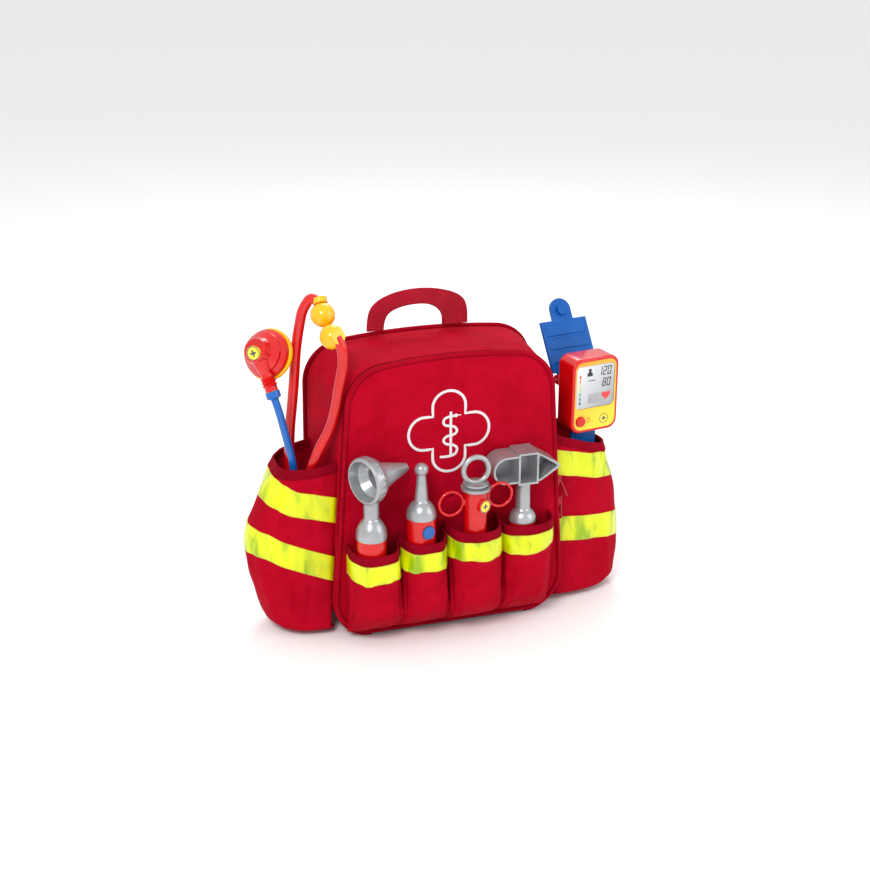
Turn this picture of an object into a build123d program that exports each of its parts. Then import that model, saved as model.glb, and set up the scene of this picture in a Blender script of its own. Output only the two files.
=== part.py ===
from build123d import *
from math import atan2, cos, degrees, pi, radians, sin, tan
import os

# Toy rescue backpack with its play instruments, in millimetres.
# X points right, Y points back, Z points up. The bag stands on Z = 0 and its front faces -Y.
# The origin is under the middle of the bag, at the height of its base.

# Bag outline
bag_depth = 94.0
front_half_base = 113.0
front_half_top = 95.0
front_height = 266.0
back_half_base = 113.0
back_half_top = 111.0
back_height = 264.0
crown_rise = 9.0
base_corner = 34.0
top_corner = 38.0
cloth = 2.4
panel_pad = 3.2
seam_gap = 0.3
piping_radius = 2.1
front_lift = 3.2
base_thickness = 3.0

# Zip and flap
zip_line = -39.0
zip_coil_width = 2.4
zip_end_height = 101.0
slider_length = 10.0
slider_width = 8.0
slider_thickness = 4.2
upper_slider_height = 129.0
lower_slider_height = 108.0
pull_length = 21.0
pull_width = 6.0
pull_thickness = 1.2
pull_hole_radius = 1.5
upper_pull_swing = 20.0
eye_height = 2.5
eye_half = 1.6
eye_lift = 1.5
slider_gap = 0.5

# Front pockets
cell_edges = [-101.0, -53.5, -9.0, 43.5, 98.0]
cell_heights = [97.0, 103.0, 109.0, 104.0]
pocket_cloth = 1.5
pocket_floor_height = 9.0
pocket_full_height = 36.0
pocket_low_share = 0.12
pocket_squareness = 2.7
crest_shift = 0.4
hem_height = 9.0
strip_height = 19.0
trim_thickness = 0.9
trim_gap = 0.06
tool_clearance = 0.4

# Side pockets
pocket_front_y = -33.0
pocket_back_y = 38.0
pocket_outer_y = 5.0
side_floor_height = 7.0
side_cloth = 1.8
band_width = 25.0

# Shared instrument sizes
tool_foot_height = 34.0
handle_radius = 13.6
running_gap = 0.3

front_y = -bag_depth / 2
back_y = bag_depth / 2
flap_back_y = front_y + panel_pad - 0.7
coil_front_y = zip_line - zip_coil_width / 2
coil_back_y = zip_line + zip_coil_width / 2


def upright(y):
    """Plane facing the front, with its own x along X and its own y along Z."""
    return Plane(origin=(0, y, 0), x_dir=(1, 0, 0), z_dir=(0, -1, 0))


def box_between(low, high):
    size = [b - a for a, b in zip(low, high)]
    centre = [(a + b) / 2 for a, b in zip(low, high)]
    return Pos(*centre) * Box(*size)


def panel_sizes(y):
    """Half widths and height of the bag's outline at depth y."""
    share = (y - front_y) / bag_depth
    half_base = front_half_base + (back_half_base - front_half_base) * share
    half_top = front_half_top + (back_half_top - front_half_top) * share
    height = front_height + (back_height - front_height) * share
    return half_base, half_top, height


def half_width(y, z):
    half_base, half_top, height = panel_sizes(y)
    return half_base + (half_top - half_base) * z / height


def panel_face(y, inset=0.0, base_z=0.0):
    """Arched outline of the bag at depth y, drawn in from its edge by inset."""
    height = panel_sizes(y)[2] - inset
    shoulder = height - crown_rise
    low = base_z + inset
    low_half = half_width(y, low) - inset
    top_half = half_width(y, shoulder) - inset
    sides = Polyline((top_half, shoulder), (low_half, low), (-low_half, low), (-top_half, shoulder))
    arch = ThreePointArc((-top_half, shoulder), (0, height), (top_half, shoulder))
    face = make_face(sides + arch)
    face = fillet(face.vertices().sort_by(Axis.Y)[:2], base_corner - inset)
    return fillet(face.vertices().sort_by(Axis.Y)[-2:], top_corner - inset)


def bag_block(inset=0.0, grow=0.0):
    front = upright(front_y - grow) * panel_face(front_y, inset)
    back = upright(back_y + grow) * panel_face(back_y, inset)
    return loft([front, back])


def ring_of_cloth(front, back, base=-1.0, top=400.0):
    """The part of the bag's wall between two depths and two heights."""
    return bag_shell & box_between((-200, front, base), (200, back, top))


def piping(y, base_z):
    """Round cord sewn all the way round one edge of the bag."""
    outline = (upright(y) * panel_face(y, base_z=base_z)).wire()
    start = Plane(origin=outline @ 0, z_dir=outline % 0)
    return sweep(start * Circle(piping_radius), path=outline)


def turned(*points):
    """Solid turned about Z from a half outline of (radius, height) points."""
    face = make_face(Polyline(*points, close=True))
    return revolve(Plane.XZ * face, Axis.Z)


def along(origin, direction):
    """Location whose Z runs along a direction."""
    return Plane(origin=origin, z_dir=direction).location


def tube(points, radius):
    """Round tube on straight runs joined by tangent arcs, and its least bend radius."""
    spots = [Vector(*p) for p in points]
    bends = []
    for a, b, c in zip(spots, spots[1:], spots[2:]):
        turn = radians((b - a).get_angle(c - b))
        run = min((b - a).length, (c - b).length)
        bends.append(0.45 * run / tan(turn / 2))
    path = FilletPolyline(*points, radius=bends)
    start = Plane(origin=path @ 0, z_dir=path % 0)
    return sweep(start * Circle(radius), path=path), path, min(bends)


bag_outer = bag_block()
bag_inner = bag_block(cloth)
bag_grown = bag_block(-trim_gap)
bag_shell = bag_outer - bag_inner
nodes = {}


# Bag body: base, wall, back panel and the back piping
base_half = front_half_base - base_corner - 1
base_front_y = flap_back_y + 1.0
back_pad_y = back_y - panel_pad
nodes["back_piping"] = piping(back_y, piping_radius + 0.1)
back_slice = bag_outer & box_between((-200, back_pad_y, -1), (200, 100, 400))
nodes["back_panel"] = back_slice - nodes["back_piping"]
nodes["base_panel"] = box_between((-base_half, base_front_y, 0), (base_half, back_pad_y, base_thickness))
wall = ring_of_cloth(coil_back_y + seam_gap, back_pad_y)
wall -= box_between((-base_half, -100, -1), (base_half, 100, 20))

# Grab handle of flat webbing, standing in the back seam on two sewn ends
webbing = 2.0
webbing_width = 25.0
handle_y = back_y - 4.5
handle_right = 34.0
handle_left = -44.0
handle_leg_left = 16.0
handle_rise = 38.0
handle_pivot_z = panel_sizes(handle_y)[2] + 1.2


def leg_stub(x, width):
    half = webbing / 2
    low = (x - width / 2, handle_y - half, handle_pivot_z - 12)
    post = box_between(low, (x + width / 2, handle_y + half, handle_pivot_z))
    cap = Pos(x, handle_y, handle_pivot_z) * Rot(0, 90, 0) * Cylinder(half, width)
    return (post + cap) - bag_inner


stubs = leg_stub(handle_right, webbing_width - 1) + leg_stub(handle_left, handle_leg_left - 1)
nodes["gusset"] = wall + stubs
handle_base = handle_pivot_z + webbing / 2 + seam_gap + 0.1
handle_top = handle_pivot_z + handle_rise
right_out = handle_right + webbing_width / 2
right_in = handle_right - webbing_width / 2
left_out = handle_left - handle_leg_left / 2
left_in = handle_left + handle_leg_left / 2
outer_arch = Spline(
    (left_out, handle_base), (left_out + 5, handle_top - 14), (left_out + 21, handle_top - 4),
    (-10, handle_top),
    (right_out - 20, handle_top - 4), (right_out - 4, handle_top - 13), (right_out, handle_base))
inner_arch = Spline(
    (left_in, handle_base), (left_in + 4, handle_top - 22), (left_in + 15, handle_top - 16),
    (-8, handle_top - 14),
    (right_in - 8, handle_top - 18), (right_in - 1, handle_top - 26), (right_in, handle_base))
left_foot = Line((left_out, handle_base), (left_in, handle_base))
right_foot = Line((right_in, handle_base), (right_out, handle_base))
handle_face = make_face(outer_arch + inner_arch + left_foot + right_foot)
nodes["grab_handle"] = extrude(upright(handle_y) * handle_face, webbing / 2, both=True)

# Front flap: padded panel, the strip in front of the zip, and the front piping
front_cord = piping(front_y, front_lift + piping_radius)
nodes["front_piping"] = front_cord
panel = bag_outer & box_between((-200, front_y, front_lift), (200, flap_back_y, 400))
nodes["front_panel"] = panel - front_cord
strip_back_y = coil_front_y - seam_gap
nodes["front_strip"] = ring_of_cloth(flap_back_y, strip_back_y, zip_end_height)
nodes["zip_coil"] = ring_of_cloth(coil_front_y, coil_back_y, zip_end_height)
webs = ring_of_cloth(flap_back_y + seam_gap, coil_back_y, -1, zip_end_height - seam_gap)
webs -= box_between((-base_half - seam_gap, -100, -1), (base_half + seam_gap, 100, 60))
nodes["zip_end_web_left"] = webs & box_between((-200, -100, -1), (0, 100, 200))
nodes["zip_end_web_right"] = webs & box_between((0, -100, -1), (200, 100, 200))

# Zip sliders and pulls on the straight right-hand side
zip_lean = degrees(atan2(half_width(zip_line, 0) - half_width(zip_line, 200), 200))


def on_zip(height, out):
    """Place on the right-hand zip, out from the cloth, with Z up along the zip."""
    return Pos(half_width(zip_line, height) + out, zip_line, height) * Rot(0, -zip_lean, 0)


def slider(height):
    body = Box(slider_thickness, slider_width, slider_length)
    body = fillet(body.edges().filter_by(Axis.X), 2.4)
    waist = Cylinder(3.2, slider_thickness * 2, rotation=(0, 90, 0))
    waist = Pos(0, slider_width / 2 + 1.2, -slider_length / 2) * waist
    body -= waist
    body -= mirror(waist, Plane.XZ)
    half = slider_thickness / 2
    bridge = box_between((half - 0.4, -0.6, -eye_half - 1.2), (half + eye_height + 0.8, 0.6, eye_half + 1.2))
    eye = box_between((half, -2, -eye_half), (half + eye_height, 2, eye_half))
    return on_zip(height, half + slider_gap) * (body + Pos(0, 0, eye_lift) * (bridge - eye))


def pull(height, swing):
    """Flat pull tab with a hole at each end, threaded on the slider's eye."""
    tab = SlotOverall(pull_length, pull_width)
    tab -= Pos(pull_length / 2 - pull_width / 2, 0) * Circle(pull_hole_radius)
    tab -= Pos(-pull_length / 2 + 3.4, 0) * Circle(pull_hole_radius + 0.5)
    blade = extrude(Plane.YZ * Rot(0, 0, 90) * tab, pull_thickness / 2, both=True)
    rim_middle = pull_length / 2 - (pull_width / 2 - pull_hole_radius) / 2
    blade = Pos(0, 0, -rim_middle) * blade
    return pull_axis(height) * Rot(0, -swing, 0) * blade


def pull_axis(height):
    """Middle of the slider's eye, which the pull hangs in."""
    out = slider_thickness / 2 + slider_gap
    return on_zip(height, out) * Pos(slider_thickness / 2 + eye_height / 2, 0, eye_lift)


nodes["zip_slider_upper"] = slider(upper_slider_height)
nodes["zip_slider_lower"] = slider(lower_slider_height)
nodes["zip_pull_upper"] = pull(upper_slider_height, upper_pull_swing)
nodes["zip_pull_lower"] = pull(lower_slider_height, 0.0)


# Front pockets: four open cells sewn to the panel
def cell_section(left, right, crest, bulge, share, z, grow):
    """Flat-backed outline of one cell at height z, fullest at x = crest, let out by grow."""
    reach = bulge * share + grow
    half = (right - left) / 2 + grow
    middle = (left + right) / 2
    spots = []
    for turn in range(0, 181, 20):
        across = cos(radians(turn))
        forward = sin(radians(turn)) ** (2 / pocket_squareness)
        x = middle + half * (1 if across > 0 else -1) * abs(across) ** (2 / pocket_squareness)
        spots.append((x + (crest - middle) * crest_shift * forward, front_y - reach * forward))
    bow = Spline(*spots)
    return Pos(0, 0, z) * make_face(bow + Line(bow @ 1, bow @ 0))


def cell_block(left, right, crest, bulge, top, grow=0.0, floor=pocket_floor_height):
    low = cell_section(left, right, crest, bulge, pocket_low_share, floor, grow)
    full = cell_section(left, right, crest, bulge, 1.0, pocket_full_height, grow)
    high = cell_section(left, right, crest, bulge, 1.0, top, grow)
    return loft([low, full, high], ruled=True)


def panel_guard(inset):
    """Room in front of the panel, kept off the piping."""
    edge = piping_radius + 0.6 + inset
    return extrude(upright(front_y + 0.01) * panel_face(front_y, edge, front_lift + piping_radius), 80)


instruments = {
    "otoscope": (-83.0, -67.5, handle_radius),
    "probe": (-36.4, -69.0, 13.2),
    "syringe": (13.2, -75.4, 10.5),
    "hammer": (65.0, -61.6, 12.5),
}
hems = []
strips = []
cell_walls = []
names = list(instruments)
for i, name in enumerate(names):
    x, y, r = instruments[name]
    left = cell_edges[i] + seam_gap
    right = cell_edges[i + 1] - seam_gap
    top = cell_heights[i]
    bulge = front_y - (y - r) + tool_clearance + pocket_cloth
    outer = cell_block(left, right, x, bulge, top)
    inner = cell_block(left, right, x, bulge, top + 1, -pocket_cloth, pocket_floor_height + pocket_cloth)
    pouch = (outer & panel_guard(0)) - (inner & panel_guard(pocket_cloth))
    nodes[f"front_pocket_{i + 1}"] = pouch
    column = box_between((left, -200, 0), (right, front_y - 3, 300))
    covered = cell_block(left, right, x, bulge, top + 1, trim_gap, pocket_floor_height - 1)
    trim = (cell_block(left, right, x, bulge, top, trim_thickness) - covered) & column & panel_guard(0)
    hems.append(trim & box_between((-200, -200, top - hem_height), (200, 0, top)))
    low_trim = top - hem_height - strip_height
    strips.append(trim & box_between((-200, -200, low_trim), (200, 0, top - hem_height - 0.2)))
nodes["front_pocket_hem"] = Compound(children=[s for h in hems for s in h.solids()])
nodes["front_pocket_reflector"] = Compound(children=[s for h in strips for s in h.solids()])


# Side pockets: each a deep cloth bag bulging from the gusset
side_profile = {
    "left": [(side_floor_height, 52.0), (60.0, 70.0), (92.0, 74.0), (130.0, 62.0), (174.0, 44.0)],
    "right": [(side_floor_height, 74.0), (60.0, 79.0), (100.0, 76.0), (135.0, 69.0), (174.0, 58.0)],
}
side_top = {"left": (170.0, -9.0), "right": (171.0, -20.0)}
side_bands = {"left": [(58.0, 20.0), (115.0, 17.0)], "right": [(64.0, -8.0), (131.0, -11.0)]}


def side_section(reach, z, grow):
    """Outline of a side pocket in plan, on the right, at height z."""
    root = half_width(pocket_front_y, z)
    spots = []
    for turn in range(-90, 91, 18):
        out = max(cos(radians(turn)), 0.0) ** (2 / pocket_squareness)
        along_y = abs(sin(radians(turn))) ** (2 / pocket_squareness)
        depth = pocket_outer_y - pocket_front_y if turn < 0 else pocket_back_y - pocket_outer_y
        side_y = -1 if turn < 0 else 1
        spots.append((root + (reach + grow) * out, pocket_outer_y + side_y * (depth + grow) * along_y))
    bow = Spline(*spots)
    seam = Polyline(bow @ 1, (root - 12, (bow @ 1).Y), (root - 12, (bow @ 0).Y), bow @ 0)
    return Pos(0, 0, z) * make_face(bow + seam)


def side_block(side, grow=0.0, floor=None):
    sections = [list(row) for row in side_profile[side]]
    if floor:
        sections[0][0] = floor
    block = loft([side_section(reach, z, grow) for z, reach in sections])
    return block


def below(z, slope):
    """Everything under a plane that crosses the gusset's side at height z and tilts outward."""
    block = Pos(0, 0, -400) * Box(900, 400, 800)
    return Pos(front_half_base, 0, z) * Rot(0, -slope, 0) * block


def to_side(shape, side):
    return shape if side == "right" else mirror(shape, Plane.YZ)


for side in ("left", "right"):
    top_z, slope = side_top[side]
    keep = below(top_z, slope)
    outer = side_block(side) & keep
    inner = side_block(side, -side_cloth, side_floor_height + side_cloth)
    cloth_wall = (outer - inner) - bag_outer
    nodes[f"side_pocket_{side}"] = to_side(cloth_wall, side)
    skin = (side_block(side, trim_thickness) - side_block(side, trim_gap)) - bag_grown
    skin &= box_between((0, pocket_front_y - 2, 0), (300, 300, 300))
    hem = ((skin & keep) - below(top_z - hem_height, slope)).solids().sort_by(SortBy.VOLUME)[-1]
    nodes[f"side_pocket_hem_{side}"] = to_side(hem, side)
    bands = []
    for low, lean in side_bands[side]:
        band = (skin & below(low + band_width, lean)) - below(low, lean)
        band &= below(top_z - hem_height - seam_gap, slope)
        bands.append(to_side(band.solids().sort_by(SortBy.VOLUME)[-1], side))
    nodes[f"side_reflector_{side}"] = Compound(children=bands)


# Shoulder straps on the back: padded band, ladder lock and webbing
strap_width = 38.0
strap_pad = 8.0
strap_stand = 26.0
strap_top_z = 244.0
strap_join_z = 96.0
strap_low_z = 24.0
strap_splay = 11.0
strap_top_x = 36.0
lock_height = 26.0
lock_width = 30.0
lock_thickness = 5.0
strap_webbing_width = 20.0
strap_webbing = 1.8


def strap_curve(z):
    """How far the strap's middle stands behind the back panel at height z."""
    share = (z - strap_low_z) / (strap_top_z - strap_low_z)
    return back_y + strap_pad / 2 + 1.0 + strap_stand * sin(pi * share) ** 0.8


def strap_band(low, high, thickness, width):
    """Band that follows the strap's bow between two heights."""
    steps = 6
    heights = [low + (high - low) * i / steps for i in range(steps + 1)]
    spots = [(strap_curve(z), z) for z in heights]
    line = Spline(*spots)
    section = make_face(
        line
        + Line(line @ 1, line @ 1 + Vector(thickness, 0))
        + Spline(*[(y + thickness, z) for y, z in reversed(spots)])
        + Line(line @ 0 + Vector(thickness, 0), line @ 0))
    return Pos(0, -thickness / 2, 0) * extrude(Plane.YZ * section, width / 2, both=True)


def strap_place(side):
    turn = -strap_splay if side == "right" else strap_splay
    shift = strap_top_x if side == "right" else -strap_top_x
    return Pos(shift, 0, strap_top_z) * Rot(0, turn, 0) * Pos(0, 0, -strap_top_z)


lock_z = strap_join_z - lock_height / 2 - seam_gap
lock_slot_width = strap_webbing_width + 1.6
lock_slot_height = 3.6
for side in ("left", "right"):
    place = strap_place(side)
    pad = strap_band(strap_join_z, strap_top_z, strap_pad, strap_width)
    pad = fillet(pad.edges().filter_by(Axis.X), 2.4)
    root_end = strap_curve(strap_top_z)
    root = box_between((-strap_width / 2, back_y, strap_top_z - 12), (strap_width / 2, root_end, strap_top_z))
    nodes[f"shoulder_strap_{side}"] = place * (pad + root) - nodes["back_panel"] - nodes["back_piping"]
    ladder = Box(lock_width, lock_thickness, lock_height)
    ladder = fillet(ladder.edges().filter_by(Axis.Y), 4)
    for z in (-lock_height / 2 + 5, 0, lock_height / 2 - 5):
        ladder -= Pos(0, 0, z) * Box(lock_slot_width, 20, lock_slot_height)
    nodes[f"ladder_lock_{side}"] = place * Pos(0, strap_curve(lock_z), lock_z) * ladder
    tape = strap_band(strap_low_z, lock_z - lock_height / 2 - seam_gap, strap_webbing, strap_webbing_width)
    tape_half = strap_webbing_width / 2
    foot_end = strap_curve(strap_low_z)
    foot = box_between((-tape_half, back_y, strap_low_z), (tape_half, foot_end, strap_low_z + 9))
    tape = place * (tape + foot) - nodes["back_panel"] - nodes["back_piping"]
    nodes[f"strap_webbing_{side}"] = tape


# Stethoscope standing in the left pocket
chest_tilt = Vector(-0.690, -0.596, 0.412).normalized()
rim_at = Vector(-151.7, 13.8, 263.6)
stem_top = rim_at + chest_tilt * 18.0
collar_at = Vector(-155.8, -9.0, 237.1)
stem_line = (stem_top - collar_at).normalized()
chest_radius = 23.5
housing_radius = 21.8
badge_height = 25.0
stem_radius = 5.2
hose_radius = 3.5
arm_radius = 4.7
ear_radius = 11.0
yoke_foot = (-131.0, 4.0, 70.0)
hose_low = side_floor_height + side_cloth + seam_gap + hose_radius
yoke_height = 22.0

chest_place = along(rim_at, chest_tilt)
rim = turned(
    (0, -3.0), (chest_radius - 1.5, -3.0), (chest_radius, -1.8), (chest_radius, 0.8),
    (chest_radius - 1, 1.6), (0, 1.6))
nodes["chest_piece_rim"] = chest_place * rim
housing = turned(
    (0, 1.6 + running_gap), (housing_radius, 1.6 + running_gap), (housing_radius, 6), (18.5, 10), (18.5, 12.5),
    (13, 17.5), (11, badge_height - 1), (10, badge_height), (0, badge_height))
stem_place = along(stem_top, -stem_line)
stem_length = (stem_top - collar_at).length
cheek = turned((0, -6), (9.6, -6), (9.6, 6), (stem_radius, 21), (0, 21))
ribs = turned(
    (0, 0), (stem_radius, 0), (stem_radius, 24), (7.2, 25.2), (5.6, 26.8), (7.2, 28.4), (5.6, 30), (7.2, 31.6),
    (5.8, 33), (5.8, stem_length), (0, stem_length))
nodes["chest_piece"] = chest_place * housing + stem_place * (cheek + ribs)
collar = turned((0, 0), (6.6, 0), (6.6, 6), (hose_radius, 7.5), (0, 7.5))
collar = stem_place * Pos(0, 0, stem_length + running_gap) * collar
hose_route = [
    tuple(collar_at - stem_line * 5),
    tuple(collar_at - stem_line * 20),
    (-137.0, -10.0, 160.0),
    (-139.5, -12.0, 118.0),
    (-141.0, -14.0, 46.0),
    (-140.0, -13.0, hose_low),
    (-132.0, 3.0, hose_low),
    (-131.0, 4.0, 46.0),
    yoke_foot,
]
hose, hose_path, hose_bend = tube(hose_route, hose_radius)
print("hose: length", round(hose_path.length), "least bend radius", round(hose_bend, 1))
nodes["steth_hose"] = hose + collar
yoke = Pos(*yoke_foot) * Pos(0, 0, yoke_height / 2) * Box(12, 26, yoke_height)
yoke = fillet(yoke.edges().filter_by(Axis.X), 5)
yoke = fillet(yoke.edges().filter_by(Axis.Z), 2.5)
front_arm_route = [
    (-130.0, -3.0, 84.0),
    (-128.0, -11.0, 124.0),
    (-125.6, -21.0, 163.0),
    (-117.5, -27.0, 186.0),
    (-109.4, -33.0, 204.5),
    (-105.2, -38.0, 226.0),
    (-102.6, -40.0, 247.0),
    (-99.0, -41.5, 266.0),
    (-100.0, -42.5, 281.0),
    (-104.5, -40.0, 291.5),
]
rear_arm_route = [
    (-132.0, 11.0, 84.0),
    (-136.5, 9.5, 135.0),
    (-137.3, 9.0, 183.0),
    (-131.1, 11.0, 229.0),
    (-127.4, 12.0, 271.0),
    (-121.5, 10.0, 303.0),
    (-114.5, 5.5, 315.5),
    (-107.5, -0.5, 311.5),
]
front_ear = (-106.5, -33.0, 289.5)
rear_ear = (-107.2, -7.0, 302.0)
bores = []
for side, route, ear in (("front", front_arm_route, front_ear), ("rear", rear_arm_route, rear_ear)):
    arm, arm_path, arm_bend = tube(route, arm_radius)
    tip = Pos(*ear) * Sphere(ear_radius)
    aim = Vector(*ear) - Vector(*route[-1])
    flange = along(route[-1], aim) * Pos(0, 0, -1.5) * Cylinder(6.5, 5)
    nodes[f"ear_tip_{side}"] = (tip + flange) - arm
    nodes[f"steth_arm_{side}"] = arm
    bores.append(arm)
    print("arm", side, "least bend radius", round(arm_bend, 1))
nodes["steth_yoke"] = yoke - bores[0] - bores[1] - hose


# Otoscope in the first front pocket
oto_x, oto_y = instruments["otoscope"][:2]
cap_low = 109.4
cap_high = 127.5
neck_radius = 7.0
head_at = Vector(-92.1, -72.8, 166.5)
tip_at = Vector(-46.0, -53.3, 167.6)
head_line = (tip_at - head_at).normalized()
head_length = (tip_at - head_at).length
ring_radius = 21.6
ring_width = 8.5
knurls = 22


def grip(radius, foot, top):
    """Handle with a rounded foot, turned about Z."""
    taper = radius - 1.6
    side = Line((radius, top), (radius, foot + 20)) + Line((radius, foot + 20), (taper, foot + 5))
    foot_curve = ThreePointArc((taper, foot + 5), (taper - 1.6, foot + 1.5), (taper - 5, foot))
    close_up = Polyline((taper - 5, foot), (0, foot), (0, top), (radius, top))
    return revolve(Plane.XZ * make_face(side + foot_curve + close_up), Axis.Z)


def dome_cap(radius, low, high, neck, neck_top, neck_end):
    """Bulged cap that sweeps in to a slim neck."""
    bulge = ThreePointArc((radius, low), (radius * 0.93, low + (high - low) * 0.52), (neck + 0.8, high))
    rest = Polyline(
        (neck + 0.8, high), (neck, high + 1.5), (neck_end, neck_top), (0, neck_top), (0, low), (radius, low))
    return revolve(Plane.XZ * make_face(bulge + rest), Axis.Z)


head_place = along(head_at, head_line)
head_solid = turned(
    (0, 0), (ring_radius - 1.4, 0), (ring_radius, 1.2), (ring_radius, ring_width), (18.5, 14), (13.6, 16.5),
    (4.2, head_length), (0, head_length))
head_bore = turned(
    (0, -1), (ring_radius - 2.6, -1), (ring_radius - 4.2, 9), (11.5, 16),
    (2.8, head_length + 1), (0, head_length + 1))
otoscope_head = head_solid - head_bore
for i in range(knurls):
    notch = Pos(ring_radius + 0.2, 0, ring_width / 2 + 0.8) * Box(2.0, 2.4, ring_width - 3)
    otoscope_head -= Rot(0, 0, 360 * i / knurls) * notch
nodes["otoscope_head"] = head_place * otoscope_head
nodes["otoscope_handle"] = Pos(oto_x, oto_y, 0) * grip(handle_radius, tool_foot_height, cap_low - 0.2)
neck = Pos(oto_x, oto_y, 0) * dome_cap(handle_radius + 0.4, cap_low, cap_high, neck_radius, 156.0, neck_radius)
nodes["otoscope_neck"] = neck - head_place * head_solid


# Ball-tipped probe in the second pocket, with its button
probe_x, probe_y, probe_radius = instruments["probe"]
probe_cap_low = 124.2
probe_cap_high = 139.5
ball_radius = 6.2
ball_height = 170.0
facet_turn = 14.0
button_radius = 6.0
button_height = 113.0
button_travel = 1.5
button_proud = 2.2
button_depth = 4.2
facet_at = probe_radius - 1.4

facet = Pos(0, -facet_at - 10, (probe_cap_low + 60) / 2) * Box(40, 20, probe_cap_low - 60)
button_hole = Rot(90, 0, 0) * Cylinder(button_radius + running_gap, button_depth * 2)
button_hole = Pos(0, -facet_at, button_height) * button_hole
probe_body = grip(probe_radius, tool_foot_height, probe_cap_low - 0.2) - facet - button_hole
probe_place = Pos(probe_x, probe_y, 0) * Rot(0, 0, facet_turn)
nodes["probe_handle"] = probe_place * probe_body
wand = dome_cap(probe_radius + 0.3, probe_cap_low, probe_cap_high, 6.2, ball_height, 3.6)
wand += Pos(0, 0, ball_height) * Sphere(ball_radius)
nodes["probe_tip"] = Pos(probe_x, probe_y, 0) * wand
button_length = button_proud + button_depth - button_travel - running_gap
knob = Cylinder(button_radius, button_length)
knob = fillet(knob.edges().sort_by(Axis.Z)[-1], 1.0)
for turn in range(6):
    knob -= Rot(0, 0, 60 * turn) * Pos(button_radius + 0.7, 0, button_length) * Cylinder(1.6, 4)
knob_place = probe_place * Pos(0, -facet_at - button_proud + button_length / 2, button_height) * Rot(90, 0, 0)
nodes["probe_button"] = knob_place * knob


# Syringe in the third pocket: barrel with finger loops, sliding plunger
syringe_x, syringe_y, barrel_radius = instruments["syringe"]
barrel_top = 147.0
barrel_bore = 8.2
loop_radius = 11.3
loop_wire = 1.25
left_loop = (-10.4, 136.0)
right_loop = (36.6, 139.0)
ring_height = 166.0
ring_turn_radius = 12.0
ring_wire = 2.4
boss_turn = 22.0
boss_height = 134.0
boss_radius = 6.6
disc_low = barrel_top + running_gap
plunger_foot = 62.0

barrel = grip(barrel_radius, tool_foot_height, barrel_top)
bore_low = tool_foot_height + 6
bore_high = barrel_top + 1
barrel -= Pos(0, 0, (bore_low + bore_high) / 2) * Cylinder(barrel_bore, bore_high - bore_low)
for loop_x, loop_z in (left_loop, right_loop):
    local_x = loop_x - syringe_x
    barrel += Pos(local_x, 0, loop_z) * Rot(90, 0, 0) * Torus(loop_radius, loop_wire)
    reach = (abs(local_x) - loop_radius + barrel_radius) / 2
    tang = Pos(reach if local_x > 0 else -reach, 0, loop_z) * Box(3.6, 2.2, 5)
    barrel += tang - Cylinder(barrel_bore + 0.4, 1000)
boss = Rot(0, 0, boss_turn) * Pos(0, -barrel_radius, boss_height) * Rot(90, 0, 0) * Cylinder(boss_radius, 5)
barrel += boss - Cylinder(barrel_bore + 0.6, 1000)
window = Rot(0, 0, 12) * Pos(0, -barrel_radius - 0.1, 113) * Box(6.4, 1.4, 24)
barrel -= window
nodes["syringe_barrel"] = Pos(syringe_x, syringe_y, 0) * barrel
piston_radius = barrel_bore - 0.05
plunger = turned(
    (0, plunger_foot), (piston_radius, plunger_foot), (piston_radius, plunger_foot + 7),
    (3.6, plunger_foot + 7),
    (3.6, disc_low), (13.2, disc_low), (13.6, disc_low + 2.6), (9.5, disc_low + 3.4), (9.5, disc_low + 4.2),
    (11.6, disc_low + 4.8), (11.6, disc_low + 6.4), (0, disc_low + 7))
plunger += Pos(0, 0, ring_height) * Rot(90, 0, 0) * Torus(ring_turn_radius, ring_wire)
nodes["syringe_plunger"] = Pos(syringe_x, syringe_y, 0) * plunger


# Reflex hammer in the fourth pocket: open-fronted moulded head
hammer_x, hammer_y, hammer_radius = instruments["hammer"]
hammer_cap_low = 104.6
hammer_neck_radius = 6.2
head_left = 31.0
head_right = 96.3
head_mid_z = 159.5
head_half_height = 13.2
head_depth = 24.0
head_wall = 1.8
frame_half_width = 9.8
frame_half_height = 15.2
neck_top_z = head_mid_z - frame_half_height


def hammer_outline(inset):
    """Round at the left, blunt wedge at the right, seen from the front."""
    half = head_half_height - inset
    left = head_left + head_half_height
    right = hammer_x + frame_half_width + 2
    nose = head_right - inset * 1.6
    leftmost = (head_left + inset, head_mid_z)
    curve = ThreePointArc((left, head_mid_z + half), leftmost, (left, head_mid_z - half))
    low = Polyline(
        (left, head_mid_z - half), (right, head_mid_z - half), (nose - 3, head_mid_z - 3.2 + inset / 2),
        (nose, head_mid_z), (nose - 3, head_mid_z + 3.2 - inset / 2), (right, head_mid_z + half),
        (left, head_mid_z + half))
    return make_face(curve + low)


head_front = hammer_y - head_depth / 2
head_back = hammer_y + head_depth / 2
head = extrude(upright(head_back) * hammer_outline(0), head_depth)
hollow = extrude(upright(head_back - 2.4) * hammer_outline(head_wall), head_depth)
head -= hollow


def head_frame(inset, front, back):
    half_wide = frame_half_width - inset
    half_high = frame_half_height - inset
    low = (hammer_x - half_wide, front, head_mid_z - half_high)
    return box_between(low, (hammer_x + half_wide, back, head_mid_z + half_high))


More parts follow.
